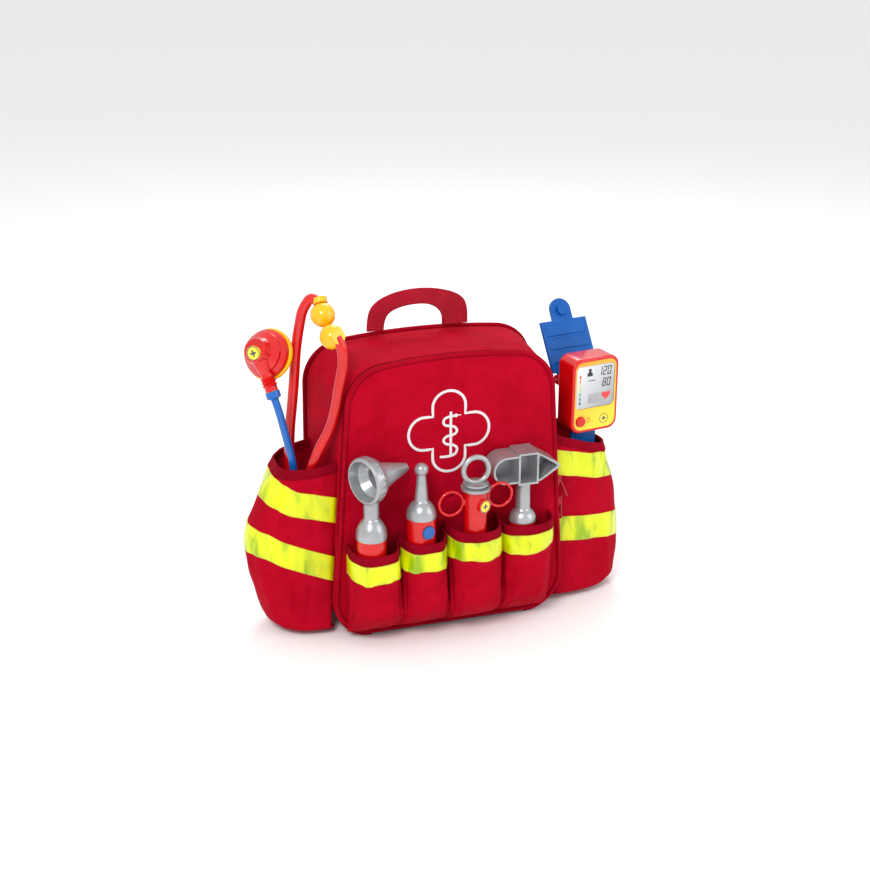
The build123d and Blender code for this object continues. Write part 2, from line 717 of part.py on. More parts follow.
frame_out = head_frame(0, head_front - 0.6, head_back)
frame_in = head_frame(head_wall, head_front - 5, head_back - 2.4)
nodes["hammer_head"] = (head + frame_out) - frame_in
hammer_cap_high = hammer_cap_low + 11
neck_low_radius = hammer_neck_radius + 0.6
shaft = dome_cap(
    hammer_radius, hammer_cap_low, hammer_cap_high, neck_low_radius, neck_top_z, hammer_neck_radius)
nodes["hammer_shaft"] = Pos(hammer_x, hammer_y, 0) * shaft
hammer_grip = grip(hammer_radius - 0.6, tool_foot_height, hammer_cap_low - 0.2)
nodes["hammer_handle"] = Pos(hammer_x, hammer_y, 0) * hammer_grip


# Blood pressure monitor in the right pocket, on its wrist strap
monitor_at = (150.3, -26.0, 169.0)
monitor_turn = 8.6
monitor_width = 51.0
monitor_height = 73.0
monitor_depth = 28.0
monitor_corner = 10.0
bezel_thickness = 2.4
bezel_edge = 3.0
screen_width = 42.0
screen_height = 42.0
screen_low = 24.0
key_radius = 4.9
key_x = -15.6
key_z = 12.0
key_travel = 1.2
key_proud = 2.4
strap_plate = 4.0
cuff_width = 50.0
cuff_hinge_width = 40.0
cuff_pivot_z = 45.0
cuff_pin_radius = 1.5
cuff_knuckle = 4.4
cuff_lean = 31.0
cuff_shoulder = 56.0
cuff_tab_length = 66.0
cuff_tab_radius = 11.0
cuff_rib_pitch = 13.2
low_cuff_width = 26.0
low_cuff_shift = -3.0

monitor_place = Pos(*monitor_at) * Rot(0, 0, monitor_turn)
bezel_width = monitor_width - 2 * bezel_edge
bezel_height = monitor_height - 2 * bezel_edge
case_sketch = RectangleRounded(monitor_width, monitor_height, monitor_corner)
case = extrude(upright(monitor_depth) * Pos(0, monitor_height / 2) * case_sketch, monitor_depth)
case = fillet(case.edges().filter_by(GeomType.LINE, reverse=True).group_by(Axis.Y)[0], 2.0)
case = fillet(case.edges().group_by(Axis.Y)[-1], 5.0)
recess_sketch = RectangleRounded(bezel_width, bezel_height, monitor_corner - 2)
recess = extrude(upright(bezel_thickness) * Pos(0, monitor_height / 2) * recess_sketch, 20)
key_spot = Pos(key_x, 0, key_z) * Rot(90, 0, 0)
key_well = key_spot * Cylinder(key_radius + running_gap, 2 * (bezel_thickness + 3.4))
pivot_local = Pos(0, monitor_depth + cuff_knuckle + 0.6, cuff_pivot_z)
pin_length = cuff_hinge_width + 7
lug = Pos(0, cuff_knuckle / 2 + 1.2, 0) * Box(2 * cuff_knuckle, cuff_knuckle + 2.4, 2.6)
lug += Cylinder(cuff_knuckle, 2.6)
lug -= Cylinder(cuff_pin_radius, 10)
lugs = []
for end in (-1, 1):
    spot = pivot_local * Pos(end * (cuff_hinge_width / 2 + 1.7), 0, 0) * Rot(0, 90, 0) * Rot(0, 0, 180)
    lugs.append(spot * lug)
case_cut = case - recess - key_well
for piece in lugs:
    case_cut += piece - case
nodes["monitor_case"] = monitor_place * case_cut
bezel_sketch = RectangleRounded(bezel_width - 0.2, bezel_height - 0.2, monitor_corner - 2.1)
bezel = extrude(upright(bezel_thickness) * Pos(0, monitor_height / 2) * bezel_sketch, bezel_thickness)
screen_mid = screen_low + screen_height / 2
screen_cut = extrude(upright(1.2) * Pos(0, screen_mid) * RectangleRounded(screen_width, screen_height, 5), 5)
nodes["monitor_bezel"] = monitor_place * (bezel - screen_cut - key_well)
screen_sketch = RectangleRounded(screen_width - 0.2, screen_height - 0.2, 4.9)
screen = extrude(upright(1.2) * Pos(0, screen_mid) * screen_sketch, 0.8)
nodes["monitor_screen"] = monitor_place * screen
key_length = key_proud + bezel_thickness + 3.4 - key_travel - running_gap
key = Cylinder(key_radius, key_length)
key = fillet(key.edges().sort_by(Axis.Z)[-1], 1.4)
nodes["monitor_button"] = monitor_place * key_spot * Pos(0, 0, key_proud - key_length / 2) * key
pin = pivot_local * Rot(0, 90, 0) * Cylinder(cuff_pin_radius, pin_length)
nodes["monitor_strap_pin"] = monitor_place * pin


def ribbed_plate(width, low, high, pitch):
    """Flexible strap plate with raised pads across it."""
    plate = box_between((-width / 2, -strap_plate / 2 + 0.9, low), (width / 2, strap_plate / 2, high))
    count = int((high - low - 4) // pitch)
    for i in range(count):
        z = high - 3 - pitch * (i + 0.5)
        low_corner = (-width / 2 + 3, -strap_plate / 2, z - pitch / 2 + 1.1)
        pad = box_between(low_corner, (width / 2 - 3, 0, z + pitch / 2 - 1.1))
        plate += chamfer(pad.edges().group_by(Axis.Y)[0], 0.8)
    return plate


upper = ribbed_plate(cuff_width, 6.0, cuff_shoulder, cuff_rib_pitch)
tab = Pos(0, 0, cuff_tab_length) * Rot(90, 0, 0) * Cylinder(cuff_tab_radius, strap_plate - 0.9)
tab_half = (strap_plate - 0.9) / 2
tab_low = (-cuff_tab_radius, -tab_half, cuff_shoulder - 6)
tab += box_between(tab_low, (cuff_tab_radius, tab_half, cuff_tab_length))
upper += Pos(0, 0.45, 0) * tab
upper += Pos(0, -strap_plate / 2 - 0.4, cuff_tab_length - 1) * Rot(90, 0, 0) * Cylinder(4.8, 4)
knuckle = Rot(0, 90, 0) * Cylinder(cuff_knuckle - 0.6, cuff_hinge_width)
hinge_half = cuff_hinge_width / 2
neck_plate = box_between((-hinge_half, -strap_plate / 2 + 0.9, 0), (hinge_half, strap_plate / 2, 7))
upper = (upper + knuckle + neck_plate) - Rot(0, 90, 0) * Cylinder(cuff_pin_radius + 0.08, cuff_width + 20)
nodes["monitor_strap_upper"] = monitor_place * pivot_local * Rot(-cuff_lean, 0, 0) * upper
low_cuff_length = monitor_at[2] - side_floor_height - side_cloth - seam_gap
lower = ribbed_plate(low_cuff_width, -low_cuff_length, 0, cuff_rib_pitch)
nodes["monitor_strap_lower"] = monitor_place * Pos(low_cuff_shift, monitor_depth / 2, 0) * lower


os.makedirs("parts", exist_ok=True)
for name, shape in nodes.items():
    print(name, round(shape.volume), len(shape.solids()))
    export_step(shape, f"parts/{name}.step")
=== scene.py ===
import math
import bpy
import numpy as np
from mathutils import Matrix


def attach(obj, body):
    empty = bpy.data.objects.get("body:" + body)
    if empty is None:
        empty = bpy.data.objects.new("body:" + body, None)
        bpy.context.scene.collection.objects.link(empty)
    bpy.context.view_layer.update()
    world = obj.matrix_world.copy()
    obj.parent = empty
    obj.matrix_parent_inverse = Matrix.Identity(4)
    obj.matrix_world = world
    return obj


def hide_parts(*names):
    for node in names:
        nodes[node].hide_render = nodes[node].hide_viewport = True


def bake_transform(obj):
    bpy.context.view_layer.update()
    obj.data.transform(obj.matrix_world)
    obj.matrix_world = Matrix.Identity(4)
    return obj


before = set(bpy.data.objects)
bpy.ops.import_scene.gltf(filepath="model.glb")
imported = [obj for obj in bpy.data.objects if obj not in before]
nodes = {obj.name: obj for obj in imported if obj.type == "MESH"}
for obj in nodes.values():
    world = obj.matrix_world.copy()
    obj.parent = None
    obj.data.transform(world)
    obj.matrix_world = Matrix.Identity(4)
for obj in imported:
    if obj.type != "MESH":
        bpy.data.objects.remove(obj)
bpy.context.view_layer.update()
scene = bpy.context.scene
MM = 0.001


def unit(vector):
    vector = np.asarray(vector, float)
    return vector / np.linalg.norm(vector)


def new_object(name, data):
    ob = bpy.data.objects.new(name, data)
    scene.collection.objects.link(ob)
    return ob


def set_axes(ob, x, y, z, at):
    """Turn an object to the given axes, at a point."""
    ob.matrix_world = Matrix([[x[i], y[i], z[i], at[i]] for i in range(3)] + [[0, 0, 0, 1]])


# Camera of the photograph
AZIMUTH, ELEVATION, ROLL = math.radians(-19.3), math.radians(22.2), math.radians(0.3)
AIM, AWAY = np.array([0.0, 0.0, 0.130]), 1.6
SENSOR, FOCAL_PIXELS, PICTURE_PIXELS = 36.0, 1701, 870
back = np.array([math.sin(AZIMUTH) * math.cos(ELEVATION),
                 -math.cos(AZIMUTH) * math.cos(ELEVATION), math.sin(ELEVATION)])
right = np.array([math.cos(AZIMUTH), math.sin(AZIMUTH), 0.0])
up = np.cross(back, right)
right, up = (right * math.cos(ROLL) + up * math.sin(ROLL),
             up * math.cos(ROLL) - right * math.sin(ROLL))
camera_data = bpy.data.cameras.new("camera")
camera_data.sensor_width = SENSOR
camera_data.lens = SENSOR * FOCAL_PIXELS / PICTURE_PIXELS
camera_data.shift_x = 0.0007
camera_data.shift_y = 0.05
camera = new_object("camera", camera_data)
set_axes(camera, right, up, back, AIM + back * AWAY)
scene.camera = camera


# Shader building
def feed(tree, node, inputs):
    """Give each input its value, or link it from a socket."""
    for key, value in inputs.items():
        if isinstance(value, bpy.types.NodeSocket):
            tree.links.new(value, node.inputs[key])
        else:
            node.inputs[key].default_value = value


def add(tree, kind, inputs=None, **settings):
    """A new shader node with its settings and inputs."""
    node = tree.nodes.new("ShaderNode" + kind)
    for key, value in settings.items():
        setattr(node, key, value)
    feed(tree, node, inputs or {})
    return node


def calculate(tree, operation, *values):
    return add(tree, "Math", dict(enumerate(values)), operation=operation).outputs[0]


def noise(tree, coords, scale, detail=2.0, **more):
    inputs = {"Vector": coords, "Scale": scale, "Detail": detail, **more}
    return add(tree, "TexNoise", inputs).outputs["Fac"]


def bump(tree, height, strength, distance, **more):
    inputs = {"Height": height, "Strength": strength, "Distance": distance, **more}
    return add(tree, "Bump", inputs).outputs[0]


def ramp(tree, value, *stops):
    """Colour along (position, colour) stops."""
    node = add(tree, "ValToRGB", {"Fac": value})
    elements = node.color_ramp.elements
    for k, (position, colour) in enumerate(stops):
        stop = elements[k] if k < len(elements) else elements.new(position)
        stop.position = position
        stop.color = (*colour, 1)
    return node.outputs["Color"]


def sine(tree, value, rate):
    """Wave with rate full turns for each unit of the value."""
    return calculate(tree, "SINE", calculate(tree, "MULTIPLY", value, rate * math.pi * 2))


def darken(tree, colour, grey, factor):
    """A colour multiplied by a grey."""
    shade = add(tree, "CombineColor", {i: grey for i in range(3)})
    mixed = add(tree, "Mix", {"Factor": factor, "A": colour, "B": shade.outputs[0]},
                data_type="RGBA", blend_type="MULTIPLY")
    return mixed.outputs["Result"]


def vary(tree, coords, low, high, scale, detail=4.0):
    """Colour drifting between two shades."""
    return ramp(tree, noise(tree, coords, scale, detail, Roughness=0.6), (0.34, low), (0.68, high))


def object_place(tree):
    return add(tree, "TexCoord").outputs["Object"]


def new_material(name):
    material = bpy.data.materials.new(name)
    material.use_nodes = True
    tree = material.node_tree
    tree.nodes.clear()
    shader = add(tree, "BsdfPrincipled")
    add(tree, "OutputMaterial", {"Surface": shader.outputs[0]})
    return material, tree, shader


# Light and surroundings: dimmer from below, but plain white to the camera and in reflections
scene.view_settings.view_transform = "Standard"
WHITE = (1.0, 1.0, 1.0, 1)
world = bpy.data.worlds.new("studio")
scene.world = world
world.use_nodes = True
tree = world.node_tree
tree.nodes.clear()
sky = add(tree, "SeparateXYZ", {0: add(tree, "TexCoord").outputs["Generated"]})
sky_level = add(tree, "MapRange", {"Value": sky.outputs["Z"], "From Min": -0.2,
                                   "To Min": 0.34, "To Max": 1.08})
fill = add(tree, "Background", {"Color": WHITE, "Strength": sky_level.outputs[0]})
white = add(tree, "Background", {"Color": WHITE, "Strength": 1.0})
ray = add(tree, "LightPath").outputs
seen = calculate(tree, "MAXIMUM", ray["Is Camera Ray"], ray["Is Glossy Ray"])
seen = calculate(tree, "MAXIMUM", seen, ray["Is Transmission Ray"])
pick = add(tree, "MixShader", {"Fac": seen, 1: fill.outputs[0], 2: white.outputs[0]})
add(tree, "OutputWorld", {"Surface": pick.outputs[0]})


def lamp(name, place, aim, size, power):
    data = bpy.data.lights.new(name, "AREA")
    data.shape = "DISK"
    data.size = size
    data.energy = power
    away = unit(np.array(place) - np.array(aim))
    side = unit(np.cross((0, 0, 1), away))
    set_axes(new_object(name, data), side, np.cross(away, side), away, place)


lamp("key", (-0.9, -1.2, 1.35), (0, 0, 0.13), 0.6, 19)
lamp("fill_right", (1.4, -1.1, 0.8), (0, 0, 0.13), 1.1, 7)
lamp("rim", (0.5, 1.1, 1.3), (0, 0, 0.15), 0.8, 8)


# Materials
def weave_group():
    """Height and shade of a plain weave, from a place in metres."""
    tree = bpy.data.node_groups.new("plain_weave", "ShaderNodeTree")
    for label, way, kind in (("Vector", "INPUT", "NodeSocketVector"), ("Pitch", "INPUT", "NodeSocketFloat"),
                             ("Height", "OUTPUT", "NodeSocketFloat"), ("Shade", "OUTPUT", "NodeSocketFloat")):
        tree.interface.new_socket(label, in_out=way, socket_type=kind)
    given, result = tree.nodes.new("NodeGroupInput"), tree.nodes.new("NodeGroupOutput")
    scaled = add(tree, "VectorMath", {0: given.outputs["Vector"], "Scale": given.outputs["Pitch"]},
                 operation="SCALE").outputs[0]
    parts = add(tree, "SeparateXYZ", {0: scaled}).outputs
    threads = calculate(tree, "MULTIPLY", sine(tree, parts["X"], 1), sine(tree, parts["Y"], 1))
    grain = noise(tree, scaled, 0.55, 3)
    total = calculate(tree, "MULTIPLY_ADD", threads, 0.5, grain)
    feed(tree, result, {"Height": total, "Shade": grain})
    return tree


WEAVE = weave_group()


def fabric(name, low, high, pitch=1100.0, strength=0.35):
    """Woven cloth with a drifting shade and soft crumples."""
    material, tree, shader = new_material(name)
    where = object_place(tree)
    weave = add(tree, "Group", {"Pitch": pitch, "Vector": where}, node_tree=WEAVE).outputs
    wrinkle = bump(tree, noise(tree, where, 46.0, 3.0, Distortion=0.6), 0.6, 0.0035)
    feed(tree, shader, {
        "Base Color": darken(tree, vary(tree, where, low, high, 34.0), weave["Shade"], 0.30),
        "Normal": bump(tree, weave["Height"], strength, 0.0004, Normal=wrinkle),
        "Roughness": 0.82, "Sheen Weight": 0.03, "Sheen Roughness": 0.5,
        "Sheen Tint": (*high, 1), "Specular IOR Level": 0.06})
    return material


def webbing_material(name, low, high, pitch=520.0):
    """Ribbed tape, its ribs lying across the length that U runs along, its colour darkened in the rib grooves as
    painted shade.
    """
    material, tree, shader = new_material(name)
    parts = add(tree, "SeparateXYZ", {0: add(tree, "UVMap").outputs[0]}).outputs
    ribs, threads = sine(tree, parts["X"], pitch), sine(tree, parts["Y"], pitch * 1.5)
    both = calculate(tree, "MULTIPLY_ADD", threads, 0.35, ribs)
    # Painted shade: the colour is darkened where the ribs' height is low, in the grooves.
    rib_groove_shade = add(tree, "MapRange", {"Value": both, "From Min": -1.35, "From Max": 1.35,
                                  "To Min": 0.55, "To Max": 1.0})
    colour = vary(tree, object_place(tree), low, high, 60.0)
    feed(tree, shader, {
        "Base Color": darken(tree, colour, rib_groove_shade.outputs[0], 0.8),
        "Normal": bump(tree, both, 0.8, 0.0005),
        "Roughness": 0.7, "Sheen Weight": 0.1, "Specular IOR Level": 0.15})
    return material


def plastic(name, low, high, rough=0.22, coat=0.35, metal=0.0, dimple=0.05, grain=260.0, shine=0.4):
    material, tree, shader = new_material(name)
    where = object_place(tree)
    speckle = noise(tree, where, grain)
    gloss = add(tree, "MapRange", {"Value": speckle, "To Min": rough * 0.8, "To Max": rough * 1.25})
    feed(tree, shader, {
        "Base Color": vary(tree, where, low, high, 40.0, 3.0),
        "Roughness": gloss.outputs[0], "Normal": bump(tree, speckle, dimple, 0.0003),
        "Metallic": metal, "Coat Weight": coat, "Specular IOR Level": shine, "Coat Roughness": 0.08})
    return material


def neon_material():
    """Fluorescent strip: bright yellow under a fine prismatic bump, with greener patches painted into its colour as
    prismatic reflection.
    """
    material, tree, shader = new_material("neon_strip")
    where = object_place(tree)
    squeeze = add(tree, "Mapping", {"Scale": (2.2, 2.2, 0.6), "Vector": where})
    painted_glint_mask = noise(tree, squeeze.outputs[0], 32.0, Distortion=0.8)
    prism = add(tree, "TexVoronoi", {"Scale": 420.0, "Vector": where})
    feed(tree, shader, {
        # Painted reflection: the greener patches of the base colour stand in for glints off the prismatic film.
        "Base Color": ramp(tree, painted_glint_mask, (0.33, (0.28, 0.45, 0.0)), (0.46, (0.64, 0.72, 0.0)),
                           (0.80, (0.80, 0.84, 0.0))),
        "Normal": bump(tree, prism.outputs["Distance"], 0.25, 0.0003),
        "Roughness": 0.32, "Specular IOR Level": 0.3, "Coat Weight": 0.35, "Coat Roughness": 0.1})
    return material


def blend_material(name, low, high, start, end):
    """Plastic whose colour runs from low to high between two points, in metres."""
    material, tree, shader = new_material(name)
    where = object_place(tree)
    way = np.array(end) - np.array(start)
    way = way / (way @ way)
    product = add(tree, "VectorMath", {0: where, 1: tuple(way)}, operation="DOT_PRODUCT")
    first = float(way @ np.array(start))
    level = add(tree, "MapRange", {"Value": product.outputs["Value"],
                                   "From Min": first, "From Max": first + 1.0})
    mottled = calculate(tree, "MULTIPLY_ADD", noise(tree, where, 700.0), 0.06, level.outputs[0])
    feed(tree, shader, {"Base Color": ramp(tree, mottled, (0.0, low), (1.0, high)),
                        "Roughness": 0.2, "Coat Weight": 0.3})
    return material


RED = fabric("red_cloth", (0.42, 0.0, 0.012), (0.52, 0.001, 0.020))
DEEP = fabric("deep_red_cloth", (0.24, 0.0, 0.008), (0.33, 0.0, 0.014))
PIPING_CLOTH = fabric("piping_cloth", (0.34, 0.0, 0.010), (0.44, 0.001, 0.016), pitch=1500.0)
MESH_BACK = fabric("back_pad_cloth", (0.40, 0.002, 0.010), (0.50, 0.004, 0.016), pitch=420.0, strength=0.9)
THREAD = fabric("red_thread", (0.36, 0.002, 0.010), (0.50, 0.006, 0.016), pitch=3000.0)
PALE_THREAD = fabric("pale_thread", (0.95, 0.80, 0.20), (1.0, 0.90, 0.42), pitch=3000.0)
WEBBING = webbing_material("red_webbing", (0.48, 0.001, 0.020), (0.62, 0.002, 0.03))
NEON = neon_material()
RED_PLASTIC = plastic("red_plastic", (0.54, 0.002, 0.003), (0.64, 0.004, 0.004))
BLUE_PLASTIC = plastic("blue_plastic", (0.0, 0.085, 0.36), (0.0, 0.12, 0.46), rough=0.3)
BLUE_RUBBER = plastic("blue_soft_plastic", (0.0, 0.080, 0.34), (0.0, 0.10, 0.41),
                      rough=0.45, coat=0.05, shine=0.25)
YELLOW_PLASTIC = plastic("yellow_plastic", (0.90, 0.42, 0.0), (1.0, 0.52, 0.0))
SILVER = plastic("silver_lacquer", (0.33, 0.34, 0.35), (0.42, 0.43, 0.445),
                 rough=0.30, coat=0.3, metal=0.55, dimple=0.12, grain=900.0)
BLACK_PLASTIC = plastic("black_plastic", (0.012, 0.012, 0.013), (0.03, 0.03, 0.032), rough=0.42, coat=0.1)
ZIP_METAL = plastic("red_zip_enamel", (0.34, 0.004, 0.014), (0.46, 0.01, 0.02), rough=0.3, coat=0.4, metal=0.3)


def paint(node, material, angle=35):
    """A CAD node keeps its shape and gets a finished material and smooth shading."""
    ob = nodes[node]
    ob.data.materials.clear()
    ob.data.materials.append(material)
    bpy.ops.object.select_all(action="DESELECT")
    ob.select_set(True)
    bpy.context.view_layer.objects.active = ob
    bpy.ops.object.shade_smooth_by_angle(angle=math.radians(angle))
    ob.select_set(False)


for material, angle, painted in (
        (RED_PLASTIC, 35, ("otoscope_handle", "probe_handle", "syringe_barrel", "hammer_handle", "monitor_case",
                           "monitor_button", "steth_yoke", "steth_arm_front", "steth_arm_rear", "chest_piece")),
        (SILVER, 35, ("otoscope_head", "otoscope_neck", "probe_tip", "syringe_plunger", "hammer_shaft",
                      "hammer_head", "monitor_strap_pin")),
        (YELLOW_PLASTIC, 35, ("ear_tip_front", "ear_tip_rear", "chest_piece_rim", "monitor_bezel")),
        (BLUE_PLASTIC, 35, ("steth_hose", "probe_button")),
        (BLUE_RUBBER, 25, ("monitor_strap_upper", "monitor_strap_lower")),
        (ZIP_METAL, 35, ("zip_slider_upper", "zip_slider_lower", "zip_pull_upper", "zip_pull_lower")),
        (BLACK_PLASTIC, 35, ("ladder_lock_left", "ladder_lock_right"))):
    for name in painted:
        paint(name, material, angle)

# Cloth shapes, worked in millimetres from the same sizes as the CAD
FRONT_Y, BACK_Y, DEPTH = -47.0, 47.0, 94.0
FRONT_LIFT, PIPING = 3.2, 2.1
ZIP_Y, ZIP_END = -39.0, 101.0


def sizes_at(y):
    share = (y - FRONT_Y) / DEPTH
    return 113.0, 95.0 + 16.0 * share, 266.0 - 2.0 * share


def half_width(y, z):
    base, top, height = sizes_at(y)
    return base + (top - base) * z / height


def arc(centre, radius, start, end, count=24):
    turn = np.linspace(start, end, count)
    return np.stack([centre[0] + radius * np.cos(turn), centre[1] + radius * np.sin(turn)], 1)


def outline(y, inset=0.0, base_z=0.0, count=420):
    """Arched outline of the bag at depth y, as (x, z), from the middle of the base round by the right."""
    height = sizes_at(y)[2] - inset
    shoulder = height - 9.0
    low = base_z + inset
    foot = np.array([half_width(y, low) - inset, low])
    top = np.array([half_width(y, shoulder) - inset, shoulder])
    base_r, top_r = 34.0 - inset, 38.0 - inset
    side = (top - foot) / np.linalg.norm(top - foot)
    inward = np.array([-side[1], side[0]])
    low_centre = foot + side * (base_r - base_r * inward[1]) / side[1] + base_r * inward
    arch_r = (top[0] ** 2 + 81.0) / 18.0
    arch_z = height - arch_r
    start = foot + top_r * inward - np.array([0, arch_z])
    along = start @ side
    run = -along + math.sqrt(along ** 2 - start @ start + (arch_r - top_r) ** 2)
    high_centre = foot + side * run + top_r * inward
    side_turn = math.atan2(-inward[1], -inward[0])
    arch_turn = math.atan2(high_centre[1] - arch_z, high_centre[0])
    half = np.concatenate([
        [[0.0, low]],
        arc(low_centre, base_r, -math.pi / 2, side_turn),
        arc(high_centre, top_r, side_turn, arch_turn),
        arc((0.0, arch_z), arch_r, arch_turn, math.pi / 2)[1:]])
    loop = np.concatenate([half, (half * [-1, 1])[::-1][1:]])
    return resample(loop, count + 1)[:-1]


def resample(points, count):
    points = np.asarray(points, float)
    length = np.concatenate([[0], np.cumsum(np.linalg.norm(np.diff(points, axis=0), axis=1))])
    spots = np.linspace(0, length[-1], count)
    return np.stack([np.interp(spots, length, points[:, k]) for k in range(points.shape[1])], 1)


def smooth_line(points, count):
    """Even points on a natural cubic spline through the given points."""
    points = np.asarray(points, float)
    knots = np.concatenate([[0], np.cumsum(np.linalg.norm(np.diff(points, axis=0), axis=1))])
    spots = np.linspace(0, knots[-1], count * 4)
    return resample(np.stack([spline(knots, points[:, k], spots) for k in range(points.shape[1])], 1), count)


def spline(xs, ys, at):
    xs, ys = np.asarray(xs, float), np.asarray(ys, float)
    n = len(xs)
    step = np.diff(xs)
    matrix = np.eye(n)
    rhs = np.zeros(n)
    for i in range(1, n - 1):
        matrix[i, i - 1:i + 2] = step[i - 1], 2 * (step[i - 1] + step[i]), step[i]
        rhs[i] = 6 * ((ys[i + 1] - ys[i]) / step[i] - (ys[i] - ys[i - 1]) / step[i - 1])
    curve = np.linalg.solve(matrix, rhs)
    at = np.clip(at, xs[0], xs[-1])
    k = np.clip(np.searchsorted(xs, at) - 1, 0, n - 2)
    h = step[k]
    a, b = (xs[k + 1] - at) / h, (at - xs[k]) / h
    return a * ys[k] + b * ys[k + 1] + ((a ** 3 - a) * curve[k] + (b ** 3 - b) * curve[k + 1]) * h ** 2 / 6


def ease(low, high, value):
    t = np.clip((value - low) / (high - low), 0, 1)
    return t * t * (3 - 2 * t)


def ridges(s, t, lines):
    """Sum of rounded folds, each (s0, t0, s1, t1, width, height) in millimetres on the cloth."""
    total = np.zeros(np.broadcast(s, t).shape)
    for s0, t0, s1, t1, width, height in lines:
        ds, dt = s1 - s0, t1 - t0
        size = ds * ds + dt * dt
        u = np.clip(((s - s0) * ds + (t - t0) * dt) / size, 0, 1)
        gap = np.hypot(s - s0 - u * ds, t - t0 - u * dt)
        taper = 0.35 + 0.65 * np.sin(np.pi * np.clip(u * 0.9 + 0.05, 0, 1))
        total = total + height * taper * np.exp(-(gap / width) ** 2)
    return total


def ripple(s, t, seed, size, height):
    """Soft uneven surface of loose cloth."""
    rng = np.random.default_rng(seed)
    total = np.zeros(np.broadcast(s, t).shape)
    for _ in range(7):
        angle, phase = rng.uniform(0, np.pi), rng.uniform(0, 2 * np.pi)
        rate = 2 * np.pi / (size * rng.uniform(0.7, 1.6))
        total = total + np.sin((s * np.cos(angle) + t * np.sin(angle)) * rate + phase)
    return total * height / 7 ** 0.5


def add_mesh(name, vertices, faces, material, body, uv=None, smooth=True):
    mesh = bpy.data.meshes.new(name)
    mesh.from_pydata((np.asarray(vertices, float) * MM).tolist(), [], faces)
    mesh.update()
    if uv is not None:
        layer = mesh.uv_layers.new(name="UVMap")
        corner = np.zeros(len(mesh.loops), dtype=np.int64)
        mesh.loops.foreach_get("vertex_index", corner)
        layer.data.foreach_set("uv", (np.asarray(uv, float) * MM)[corner].ravel())
    mesh.polygons.foreach_set("use_smooth", [smooth] * len(mesh.polygons))
    mesh.materials.append(material)
    ob = new_object(name, mesh)
    if body:
        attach(ob, body)
    return ob


def normals_of(grid, wrap=False):
    if wrap:
        du = np.roll(grid, -1, 0) - np.roll(grid, 1, 0)
    else:
        du = np.gradient(grid, axis=0)
    n = np.cross(du, np.gradient(grid, axis=1))
    return n / np.maximum(np.linalg.norm(n, axis=2), 1e-9)[:, :, None]


def cloth(name, grid, thick, material, body, wrap=False, turn=False):
    """Cloth of two skins from a grid of points; turn when the grid's own normals point inward."""
    if turn:
        grid = grid[::-1]
    nu, nv = grid.shape[:2]
    inner = grid - normals_of(grid, wrap) * thick
    vertices = np.concatenate([grid.reshape(-1, 3), inner.reshape(-1, 3)])
    cols = nu if wrap else nu - 1
    i, j = np.meshgrid(np.arange(cols), np.arange(nv - 1), indexing="ij")
    i2 = (i + 1) % nu
    outer = np.stack([i * nv + j, i2 * nv + j, i2 * nv + j + 1, i * nv + j + 1], -1).reshape(-1, 4)
    shift = nu * nv
    faces = outer.tolist() + (outer[:, ::-1] + shift).tolist()
    for a in range(cols):
        b = (a + 1) % nu
        faces.append([a * nv + shift, b * nv + shift, b * nv, a * nv])
        faces.append([a * nv + nv - 1, b * nv + nv - 1, b * nv + nv - 1 + shift, a * nv + nv - 1 + shift])
    if not wrap:
        last = (nu - 1) * nv
        for c in range(nv - 1):
            faces.append([c, c + 1, c + 1 + shift, c + shift])
            faces.append([last + c + shift, last + c + 1 + shift, last + c + 1, last + c])
    u_run = np.concatenate([[0], np.cumsum(np.linalg.norm(np.diff(grid[:, nv // 2], axis=0), axis=1))])
    v_run = np.concatenate([[0], np.cumsum(np.linalg.norm(np.diff(grid[nu // 2], axis=0), axis=1))])
    uv = np.stack(np.meshgrid(u_run, v_run, indexing="ij"), -1).reshape(-1, 2)
    return add_mesh(name, vertices, faces, material, body, uv=np.concatenate([uv, uv]))


def tube(name, path, radius, material, body, closed=True, sides=12, bumps=0.0):
    """Round cord along a path."""
    path = np.asarray(path, float)
    tangent = np.roll(path, -1, 0) - np.roll(path, 1, 0) if closed else np.gradient(path, axis=0)
    tangent /= np.linalg.norm(tangent, axis=1)[:, None]
    side = np.cross(tangent, [0.03, 1.0, 0.02])
    side /= np.linalg.norm(side, axis=1)[:, None]
    over = np.cross(side, tangent)
    turns = np.linspace(0, 2 * np.pi, sides, endpoint=False)
    swell = radius * (1 + bumps * np.sin(np.arange(len(path)) * 2.1))[:, None, None]
    ring = path[:, None] + swell * (np.cos(turns)[None, :, None] * side[:, None]
                                    + np.sin(turns)[None, :, None] * over[:, None])
    n = len(path)
    faces = []
    for a in range(n if closed else n - 1):
        b = (a + 1) % n
        for c in range(sides):
            d = (c + 1) % sides
            faces.append([a * sides + c, a * sides + d, b * sides + d, b * sides + c])
    if not closed:
        faces.append(list(range(sides))[::-1])
        faces.append([(n - 1) * sides + c for c in range(sides)])
    return add_mesh(name, ring.reshape(-1, 3), faces, material, body)


